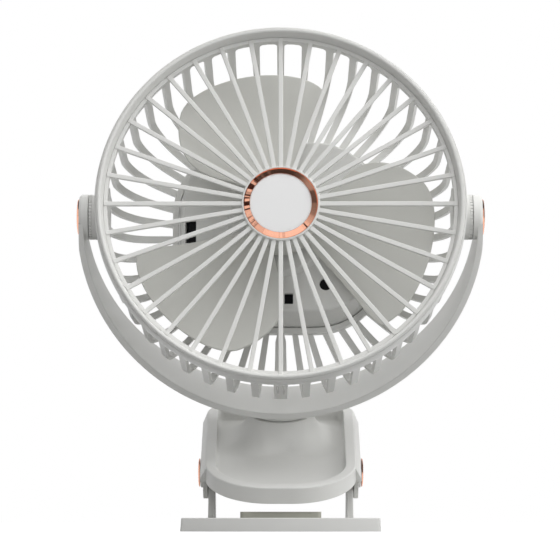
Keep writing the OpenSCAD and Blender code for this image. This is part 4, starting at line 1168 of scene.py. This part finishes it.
def build_ears():
    """Eyes for the hinge pin on gussets, each with a peg that the spring's lower leg rests on."""
    foot_y, inner = PIN.y, EAR_OUT - EAR_T
    ear = plate("foot_ear",
                [(foot_y - 19, FOOT_T - 0.3)]
                + near(foot_y, FOOT_T, (19, -0.3), (17.2, 0.4), (16.2, 1.4))
                + [(PIN.y + EAR_R, PIN.z - 1.1)] + arc(PIN.y, PIN.z, EAR_R, -10, 190, 24)
                + [(PIN.y - EAR_R, PIN.z - 1.1)]
                + near(foot_y, FOOT_T, (-16.2, 1.4), (-17.2, 0.4)), EAR_T, inner)
    carve(ear, plate("hole", arc(PIN.y, PIN.z, PIN_R + 0.05, 0, 352.5, 47), 20, EAR_OUT - 12))
    round_edges(ear, 0.4, 3, 40, lambda e: middle(e).y > FOOT_T + 0.2)
    moved(ear, SIDEWAYS)
    peg = lathe("peg", near(0, inner, (0, -2.2), (PEG_R - 0.3, -2.2), (PEG_R, -1.9), (PEG_R, 0.5),
                            (0, 0.5)), 24)
    along, off = 10, COIL_R + WIRE_R + PEG_R + 0.1
    c, s = math.cos(LOWER_LEG), math.sin(LOWER_LEG)
    moved(peg, Matrix.Translation((0, PIN.y + along * c - off * s, PIN.z - along * s - off * c))
          @ ACROSS)
    return both_sides("ears", joined("ear", [ear, peg]))


def build_foot():
    foot = joined("foot_shell", [build_foot_base(), build_ears()])
    finish(foot, BASE, "base", "body", ["foot_plate"])


def build_grip(name, width, length, height, pitch):
    """A ribbed rubber pad: bars at its ends, fine grooves across its top."""
    pad = plate(name, rounded(width / 2 - 2, length / 2 - 2, 2.0, 6), height)
    for side in (-1, 1):
        x, y = side * (width / 2 - 4.6), length / 2 - 1.4
        carve(pad, plate("gap", [(x - 0.5, -y), (x + 0.5, -y), (x + 0.5, y), (x - 0.5, y)],
                         height, height - 0.9))
    for y in (-pitch, 0, pitch):
        groove = lathe("groove", rod(1.15, -width / 2 + 6.4, width / 2 - 6.4), 24)
        carve(pad, moved(groove, Matrix.Translation((0, y, height)) @ ACROSS))
    # the front and the back between the bars are cut in under the top
    x = width / 2 - 5.1
    for y in (-length / 2, length / 2):
        carve(pad, plate("step", [(-x, y - 0.6), (x, y - 0.6), (x, y + 0.6), (-x, y + 0.6)],
                         height * 0.45, height * 0.62))
    round_edges(pad, 0.28, 2, 40)
    return pad


def build_pads():
    lower = build_grip("lower_grip", PAD_W, 26, PAD_T, 7.2)
    finish(lower, BASE @ Matrix.Translation((0, 19 - LIP_FRONT, FOOT_T)), "base", "grip_rubber",
           ["lower_pad"])
    upper = build_grip("upper_grip", 28, 24, 1.6, 6.6)
    under = (Matrix.Translation((0, 20 - JAW_FRONT, -TRAY_DEPTH - FLOOR_T))
             @ Matrix.Rotation(math.pi, 4, "Y"))
    finish(upper, JAW @ under, "upper_jaw", "grip_rubber", ["upper_pad"])
    pads = []
    for place in WELLS:
        pad = lathe("foot_pad", [(0, 0.06), (0.9, 0.06), (1.2, 0), (5.6, 0), (6.0, 0.04),
                                 (6.5, 0.18), (6.85, 0.5), (6.85, 1.37), (0, 1.37)], 56)
        pads.append(moved(pad, Matrix.Translation(place)))
    finish(joined("foot_pad_set", pads), BASE, "base", "grip_rubber", ["foot_pads"])


def build_swivel():
    """The collar that carries the yoke on its post, and the slim washer under it."""
    seat, collar_low, collar_high = NECK_H + YOKE_T, 9.3, NECK_H + 1.4
    collar = lathe("swivel_collar", [
        (0, -5.4), (6.8, -5.4), (POST_R, -4.7), (POST_R, 10.0), (15.0, 10.0),
        (15.05, collar_low + 0.05), (15.5, collar_low), (COLLAR_R, collar_low + 0.3),
        (COLLAR_R, NECK_H - 0.1), (COLLAR_R, collar_high), (POST_R, collar_high),
        (POST_R, seat - 0.9), (POST_R - 0.4, seat - 0.5), (0, seat - 0.4)])
    finish(collar, JAW, "yoke", "body", ["swivel_post"])
    washer = lathe("swivel_washer_ring", closed([
        (7.85, 9.0), (14.6, 9.0), (14.75, 9.15), (14.75, 9.75), (14.6, 9.9), (7.85, 9.9)]))
    finish(washer, JAW, "upper_jaw", "dark_plastic", ["swivel_washer"])


build_trim_ring()
build_grille()
build_hub_badge()
build_guard_back()
build_friction_washers()
build_rotor()
build_yoke()
build_swivel()
build_jaw()
build_foot()
build_pads()
build_housing()
build_hinge_caps()
build_spring()
build_screws()
build_button()
build_rear_cover()
